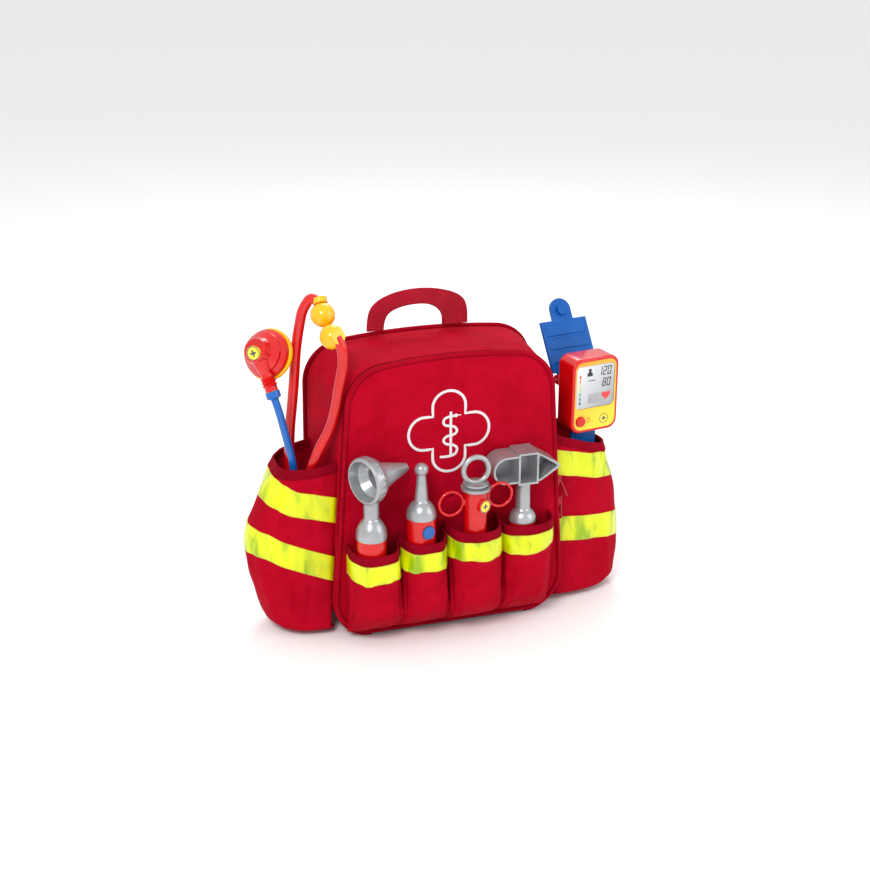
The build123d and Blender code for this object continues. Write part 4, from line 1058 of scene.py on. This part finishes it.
def stroke(path, width, closed=False):
    """Quads along a path of (x, z) points."""
    path = np.asarray(path, float)
    way = np.roll(path, -1, 0) - np.roll(path, 1, 0) if closed else np.gradient(path, axis=0)
    way = way / np.linalg.norm(way, axis=1)[:, None]
    side = np.stack([-way[:, 1], way[:, 0]], 1) * width / 2
    shapes, count = [], len(path)
    for a in range(count if closed else count - 1):
        b = (a + 1) % count
        shapes.append([path[a] - side[a], path[b] - side[b], path[b] + side[b], path[a] + side[a]])
    return shapes


def disc(x, z, radius, count=40):
    turns = np.linspace(0, 2 * np.pi, count, endpoint=False)
    return np.stack([x + radius * np.cos(turns), z + radius * np.sin(turns)], 1)


def box_shape(x, z, wide, tall):
    return [(x, z), (x + wide, z), (x + wide, z + tall), (x, z + tall)]


def digit(symbol, x, z, wide, tall, bar, lean=0.12):
    """Seven-segment figure standing on (x, z)."""
    lit = {"0": "abcdef", "1": "bc", "2": "abged", "8": "abcdefg"}[symbol]
    mid, gap = tall / 2, bar * 0.25
    long, high = wide - 2 * gap, mid - 2 * gap
    spans = {"a": (gap, tall - bar, long, bar), "g": (gap, mid - bar / 2, long, bar), "d": (gap, 0, long, bar),
             "f": (0, mid + gap, bar, high), "b": (wide - bar, mid + gap, bar, high),
             "e": (0, gap, bar, high), "c": (wide - bar, gap, bar, high)}
    shapes = []
    for a, b, w, h in (spans[key] for key in lit):
        shapes.append([(x + a + lean * b, z + b), (x + a + w + lean * b, z + b),
                       (x + a + w + lean * (b + h), z + b + h), (x + a + lean * (b + h), z + b + h)])
    return shapes


INK = plastic("black_print", (0.008, 0.008, 0.009), (0.02, 0.02, 0.02), rough=0.4, coat=0.2)
BADGE_YELLOW = plastic("badge_print", (0.95, 0.72, 0.02), (1.0, 0.80, 0.06), rough=0.35, coat=0.3)
BADGE_RING = plastic("badge_ring_print", (0.03, 0.05, 0.10), (0.05, 0.07, 0.13), rough=0.4, coat=0.2)
WHITE_PRINT = fabric("white_print", (0.78, 0.76, 0.77), (0.86, 0.84, 0.85), pitch=1100.0, strength=0.25)
WARM_INK = plastic("orange_print", (0.80, 0.16, 0.01), (0.86, 0.20, 0.02), rough=0.4, coat=0.2)
BAND_GREY = plastic("grey_print", (0.30, 0.31, 0.33), (0.40, 0.41, 0.43), rough=0.3, coat=0.4)
HEART_RED = plastic("heart_print", (0.70, 0.02, 0.02), (0.80, 0.05, 0.04), rough=0.3, coat=0.4)

# Emblem printed on the front panel: rounded cross with a staff and serpent
EMBLEM_X, EMBLEM_Z, ARM_LONG, ARM_HALF, ARM_ROUND = -3.0, 195.0, 38.5, 15.4, 14.6


def emblem_outline():
    points = []
    for quarter in range(4):
        turn = -quarter * math.pi / 2
        arm = [(ARM_HALF, ARM_HALF), (ARM_HALF + 5, ARM_HALF + 0.3)]
        centre = ARM_LONG - ARM_ROUND
        arm += [(centre + ARM_ROUND * math.sin(a), (ARM_HALF + 0.3) * math.cos(a))
                for a in np.linspace(0.12, math.pi - 0.12, 26)]
        arm += [(ARM_HALF + 5, -ARM_HALF - 0.3), (ARM_HALF, -ARM_HALF)]
        c, s = math.cos(turn), math.sin(turn)
        points += [(x * c - z * s, x * s + z * c) for x, z in arm[:-1]]
    return np.array(points)


def on_panel(name, shapes, lift):
    """Flat shapes laid on the padded panel, following its swell."""
    def lay(shape, rise):
        x, z = shape[:, 0] + EMBLEM_X, shape[:, 1] + EMBLEM_Z
        return np.stack([x, panel_front(x, z) - rise, z], 1)

    vertices, faces = slabs(shapes, lay, (lift, lift - 0.35))
    return add_mesh(name, vertices, faces, WHITE_PRINT, "front_flap", smooth=False)


STAFF_X, STAFF_WIDE = 1.6, 2.3
serpent = smooth_line([(-8.6, -24), (0.4, -24), (6.6, -21.5), (7.6, -17), (3, -13.4), (-2.6, -12), (-5.2, -8.6),
                       (-2.6, -5.2), (3.4, -4), (7.6, -0.6), (5.8, 3), (0.2, 5.0), (-5.0, 7.4), (-4.8, 11.4),
                       (0.4, 13.8), (5.6, 14.3)], 150)
head, tongue = disc(6.6, 14.3, 1.7, 18), [(7.6, 14.3), (9.4, 14.4), (11.4, 14.5)]
for name, shapes, lift in (
        ("emblem_cross", stroke(emblem_outline(), 2.4, closed=True), 0.30),
        ("emblem_staff", [box_shape(STAFF_X - 1.15, -22.5, STAFF_WIDE, 41.0)], 0.42),
        ("emblem_serpent", stroke(serpent, 2.3) + [head] + stroke(tongue, 0.9), 0.31)):
    on_panel(name, shapes, lift)

# Monitor display and marks
MON = np.array([150.3, -26.0, 169.0])
MON_TURN = math.radians(8.6)
mon_x = np.array([math.cos(MON_TURN), math.sin(MON_TURN), 0.0])
mon_y = np.array([-math.sin(MON_TURN), math.cos(MON_TURN), 0.0])
screen_place = frame_of(MON + mon_y * 0.4, mon_x, (0, 0, 1))
bezel_place = frame_of(MON, mon_x, (0, 0, 1))
figures = []
for k, symbol in enumerate("120"):
    figures += digit(symbol, 2.6 + 5.0 * k, 54.6, 3.9, 8.6, 0.95)
for k, symbol in enumerate("80"):
    figures += digit(symbol, 7.2 + 5.0 * k, 43.6, 3.9, 8.2, 0.95)
figures += [disc(-6.4, 61.2, 1.7),
            [(-9.4, 55.4), (-3.4, 55.4), (-3.6, 58.2), (-4.8, 59.5), (-8.0, 59.5), (-9.2, 58.2)]]
figures += [box_shape(-8.6, 50.6, 8.2, 0.7)]
rim = []
for cx, cz, start in ((16.6, 61.6, 0), (-16.6, 61.6, math.pi / 2), (-16.6, 28.4, math.pi), (16.6, 28.4, 1.5 * math.pi)):
    rim += [(cx + 4.4 * math.cos(start + a), cz + 4.4 * math.sin(start + a)) for a in np.linspace(0, math.pi / 2, 8)]
figures += stroke(rim, 0.7, closed=True)
plates("display_marks", screen_place, figures, INK, "monitor")
band = plates("display_band", screen_place, [box_shape(-7.6, 28.2, 25.4, 9.6)], BAND_GREY, "monitor", lift=0.04)
turns = np.linspace(0, 2 * np.pi, 48, endpoint=False)
heart = np.stack([
    12.0 + 0.30 * 16 * np.sin(turns) ** 3,
    34.6 + 0.30 * (13 * np.cos(turns) - 5 * np.cos(2 * turns) - 2 * np.cos(3 * turns) - np.cos(4 * turns))], 1)
plates("display_heart", screen_place, [heart], HEART_RED, "monitor", lift=0.10)
ladder = [(0.62, 0.02, 0.02), (0.80, 0.20, 0.02), (0.86, 0.52, 0.03), (0.42, 0.55, 0.10), (0.08, 0.36, 0.12),
          (0.02, 0.20, 0.12), (0.01, 0.08, 0.08)]
for k, shade in enumerate(ladder):
    tone = plastic("ladder_print_%d" % (k + 1), shade, tuple(min(1, c * 1.15) for c in shade), rough=0.35, coat=0.3)
    rung = [box_shape(-17.6, 57.4 - 4.3 * k - 3.2, 1.7, 3.2)]
    plates("display_ladder_%d" % (k + 1), screen_place, rung, tone, "monitor")


def badge(name, place, radius, body, thick=0.14):
    """Plain printed badge: yellow disc, dark ring and a small plus."""
    plates(name + "_disc", place, [disc(0, 0, radius)], BADGE_YELLOW, body, lift=0.05, thick=thick)
    ring = stroke(disc(0, 0, radius * 0.90, 48), radius * 0.14, closed=True)
    arm, half = radius * 0.46, radius * 0.13
    plus = [[(-arm, -half), (arm, -half), (arm, half), (-arm, half)],
            [(-half, half), (half, half), (half, arm), (-half, arm)],
            [(-half, -arm), (half, -arm), (half, -half), (-half, -half)]]
    plates(name + "_marks", place, ring + plus, BADGE_RING, body, lift=0.11)


badge("monitor_badge", frame_of(MON + mon_x * 10.4 + np.array([0, 0, 11.6]), mon_x, (0, 0, 1)),
      4.9, "monitor")
chest_rim, chest_collar = np.array([-151.7, 13.8, 263.6]), np.array([-155.8, -9.0, 237.1])
chest_way = unit([-0.690, -0.596, 0.412])
cheek_middle = chest_rim + chest_way * 18.0
stem_way = unit(cheek_middle - chest_collar)
cheek_out = unit(chest_way - stem_way * (stem_way @ chest_way))
cheek_place = frame_of(cheek_middle + cheek_out * 9.6, np.cross(stem_way, cheek_out), stem_way)
badge("chest_badge", cheek_place, 6.6, "chest_end", thick=2.7)
boss_turn = math.radians(22.0)
boss_way = np.array([math.sin(boss_turn), -math.cos(boss_turn), 0.0])
boss_spot = np.array([13.2, -75.4, 134.0]) + boss_way * 13.0
badge("syringe_badge", frame_of(boss_spot, (math.cos(boss_turn), math.sin(boss_turn), 0.0), (0, 0, 1)),
      5.9, "syringe")

# ON and OFF beside the monitor's button, drawn as strokes
letters = {"O": [[(0, 0), (1.3, 0), (1.3, 2), (0, 2), (0, 0)]],
           "N": [[(0, 0), (0, 2), (1.3, 0), (1.3, 2)]],
           "F": [[(0, 0), (0, 2), (1.3, 2)], [(0, 1.05), (1.0, 1.05)]]}
words = []
for word, x0, z0 in (("ON", -8.6, 12.9), ("OFF", -8.6, 9.6)):
    for k, letter in enumerate(word):
        for line in letters[letter]:
            for a, b in zip(line, line[1:]):
                words += stroke([(x0 + 1.9 * k + x, z0 + z) for x, z in (a, b)], 0.42)
plates("switch_words", bezel_place, words, WARM_INK, "monitor")

# The display face runs from light grey at the top left to dark grey at the lower right; the bezel's run from orange to
# yellow is print.
paint("monitor_screen", blend_material("display_face", (0.74, 0.76, 0.79), (0.30, 0.31, 0.33),
                                       (0.131, -0.03, 0.232), (0.172, -0.025, 0.196)))
paint("monitor_bezel", blend_material("bezel_print", (0.96, 0.30, 0.01), (1.0, 0.66, 0.02),
                                      (0.13, -0.03, 0.238), (0.165, -0.03, 0.180)))

# Floor
FLOOR_HALF = 12.0
floor_mesh = bpy.data.meshes.new("floor")
floor_mesh.from_pydata([(x * FLOOR_HALF, y * FLOOR_HALF, 0) for x, y in ((-1, -1), (1, -1), (1, 1), (-1, 1))],
                       [], [(0, 1, 2, 3)])
floor = new_object("floor", floor_mesh)
floor_material, floor_tree, floor_shader = new_material("pale_floor")
feed(floor_tree, floor_shader, {"Base Color": (0.93, 0.93, 0.93, 1), "Roughness": 0.9})
floor_mesh.materials.append(floor_material)
